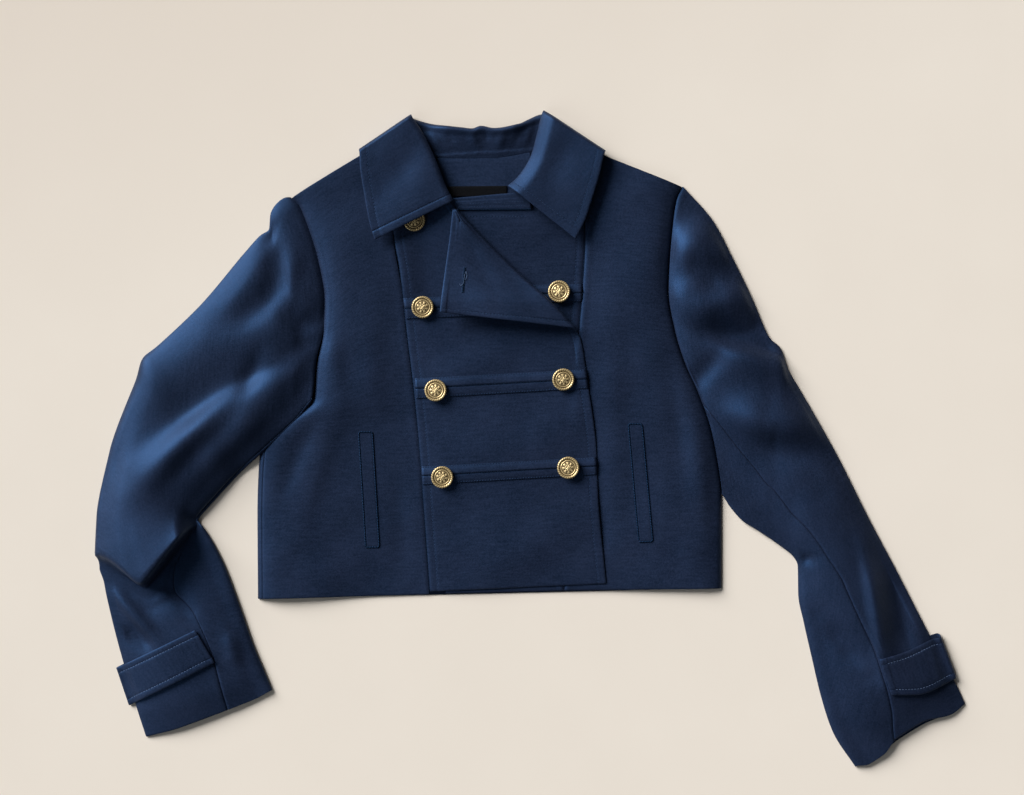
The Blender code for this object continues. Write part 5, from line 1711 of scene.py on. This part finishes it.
# %% Stitched fronts
WHOLE = slice(None)
UNDERLAP_END = 328.0              # plan y below which the overlap hides the underlap
OVERLAP_FROM = 335.0              # plan y below which the overlap's edge is stitched
placket_threads = bmesh.new()
far_line = FAR_STITCHED.index(STITCH_FAR)
far_back = -far_line - 1
stitch_line(placket_threads, line_of(placket, slice(2, -16), far_line))
stitch_line(placket_threads, line_of(placket, placket.y[:, far_back] > OVERLAP_FROM, far_back))
stitch_line(placket_threads, line_of(underlap, underlap.y[:, far_back] < UNDERLAP_END, far_back))
stitch_line(placket_threads, draped_line("front_left_placket", [(462, 217), (532, 217)]))
finish_stitches("placket_stitching", placket_threads)

revers_threads = bmesh.new()
near_line = NEAR_STITCHED.index(STITCH_NEAR)
stitch_line(revers_threads, line_of(revers, near_line, slice(3, -3)))
finish_stitches("turned_corner_stitching", revers_threads)

# %% [markdown]
# ## Stitching of bands, tabs, neck and collar
# The small pieces are sewn with shorter stitches. On the tabs the thread is paler than the cloth
# and shows clearly; elsewhere it is nearly the colour of the cloth.

# %% Stitched small pieces
BAND_THREAD = Thread(2.7, 2.2, 0.26)
NECK_THREAD = Thread(2.6, 2.1, 0.25)
band_threads = bmesh.new()
for band in bands.values():
    for row in (2, -3):
        stitch_line(band_threads, line_of(band, row, WHOLE), BAND_THREAD)
finish_stitches("band_stitching", band_threads)

tab_threads = bmesh.new()
for tab in tabs:
    for col in (near_line, -near_line - 1):
        stitch_line(tab_threads, line_of(tab, slice(near_line, -9), col, TAB_WALL))
finish_stitches("tab_stitching", tab_threads, pale_thread)

neck_threads = bmesh.new()
for offset in (3.2, 6.4):
    row = int(np.argmin(np.abs(neckband.hem[:, 0] - offset)))
    stitch_line(neck_threads, line_of(neckband, row, slice(2, -2)), NECK_THREAD)
finish_stitches("neck_stitching", neck_threads)

collar_threads = bmesh.new()
collar_line = collar_x.shape[1] - 1 - far_line
for fall in FALLS:
    front_row = fall.rows[np.argmin(np.abs(from_front[fall.rows, 0] - STITCH_FAR))]
    inside = fall.rows[from_front[fall.rows, 0] >= STITCH_FAR]
    for rows, cols in ((front_row, slice(3, collar_line)), (inside, collar_line)):
        stitch_line(collar_threads, on_top(collar_x[rows, cols], collar_y[rows, cols],
                                           collar_z[rows, cols]))
finish_stitches("collar_stitching", collar_threads)

# %% [markdown]
# ## Painted shade in seams and slits
# Where two pieces are sewn together, along the slits of the bands and round the welts, the shade
# that lies deep between them is painted: a near-black thread, far darker than the cloth, is laid
# there as a close row of overlapping stitches. A dark line could be painted in the finish, but a
# thread is a real shape that stays in the mesh.

# %% Painted shade in the seams
# painted shade: sizes of the near-black threads laid in seam ditches, band slits and round the welts
DITCH, SLIT, OUTLINE = (Thread(1.6, 2.4, radius) for radius in (0.34, 0.75, 1.15))
COLLAR_FOOT = 232.0               # plan y below which the seam of the placket shows
ditches = bmesh.new()
stitch_line(ditches, line_of(placket, placket.y[:, 0] > COLLAR_FOOT, 0, 0.6), DITCH)
stitch_line(ditches, line_of(underlap, underlap.y[:, -1] < UNDERLAP_END, -1, 0.6), DITCH)
stitch_line(ditches, on_top(stand_x[0], stand_y[0], stand_z[0], 1.0), SLIT)
stitch_line(ditches, on_top(neckband.x[0], neckband.y[0] + 0.3, neckband.z[0], 0.0), SLIT)
for welt_rows, carrier in WELTS.values():
    low, high = welt_rows
    outline = [(low.left_x, low.left_y), (low.right_x, low.right_y), (high.right_x, high.right_y),
               (high.left_x, high.left_y), (low.left_x, low.left_y)]
    stitch_line(ditches, draped_line(carrier, outline, step=1.0), OUTLINE)
for band in bands.values():
    stitch_line(ditches, line_of(band, band.x.shape[0] // 2, WHOLE, 0.7), SLIT)
finish_stitches("painted_seam_shade", ditches, painted_shade_thread)

# %% [markdown]
# ## Buttonhole
# The turned-back corner shows a worked buttonhole: a slit between two rows of close thread bars.
# Each bar is one stitch across the edge of the slit, as a buttonhole is sewn. One loose end of
# thread curls beside it.

# %% Buttonhole
HOLE_FROM, HOLE_TO = (465.0, 268.0), (463.0, 294.5)
BAR_PITCH, BAR_FROM, BAR_TO = 0.55, 0.35, 1.9    # spacing of the bars, and their ends off the slit
BAR, SLIT_SHADE, CURL = Thread(1.4, 1.4, 0.3), Thread(1.6, 2.4, 0.8), Thread(0.8, 1.2, 0.26)
hole_threads = bmesh.new()
hole_length = math.dist(HOLE_FROM, HOLE_TO)
along_x, along_y = ((to - start) / hole_length for start, to in zip(HOLE_FROM, HOLE_TO))
for side in (-1.0, 1.0):
    for number in range(int(hole_length / BAR_PITCH)):
        at = BAR_PITCH * number
        middle_x, middle_y = HOLE_FROM[0] + along_x * at, HOLE_FROM[1] + along_y * at
        ends = [(middle_x - along_y * off * side, middle_y + along_x * off * side)
                for off in (BAR_FROM, BAR_TO)]
        bar = draped_line("front_right_revers", ends, step=0.7)
        if len(bar) > 1:
            stitch_line(hole_threads, bar, BAR)
finish_stitches("buttonhole", hole_threads)

# painted shade: a near-black thread laid along the slit stands for the shade in its opening
slit_shade_threads = bmesh.new()
stitch_line(slit_shade_threads, draped_line("front_right_revers", [HOLE_FROM, HOLE_TO], 1.4), SLIT_SHADE)
finish_stitches("painted_slit_shade", slit_shade_threads, painted_shade_thread)

loose_thread = bmesh.new()
curl = [(466, 281), (467.5, 276), (466.5, 272), (465, 276), (464, 284), (461.5, 287), (459.5, 284)]
stitch_line(loose_thread, draped_line("front_right_revers", curl, 2.4, 0.6), CURL)
finish_stitches("loose_thread", loose_thread, pale_thread)
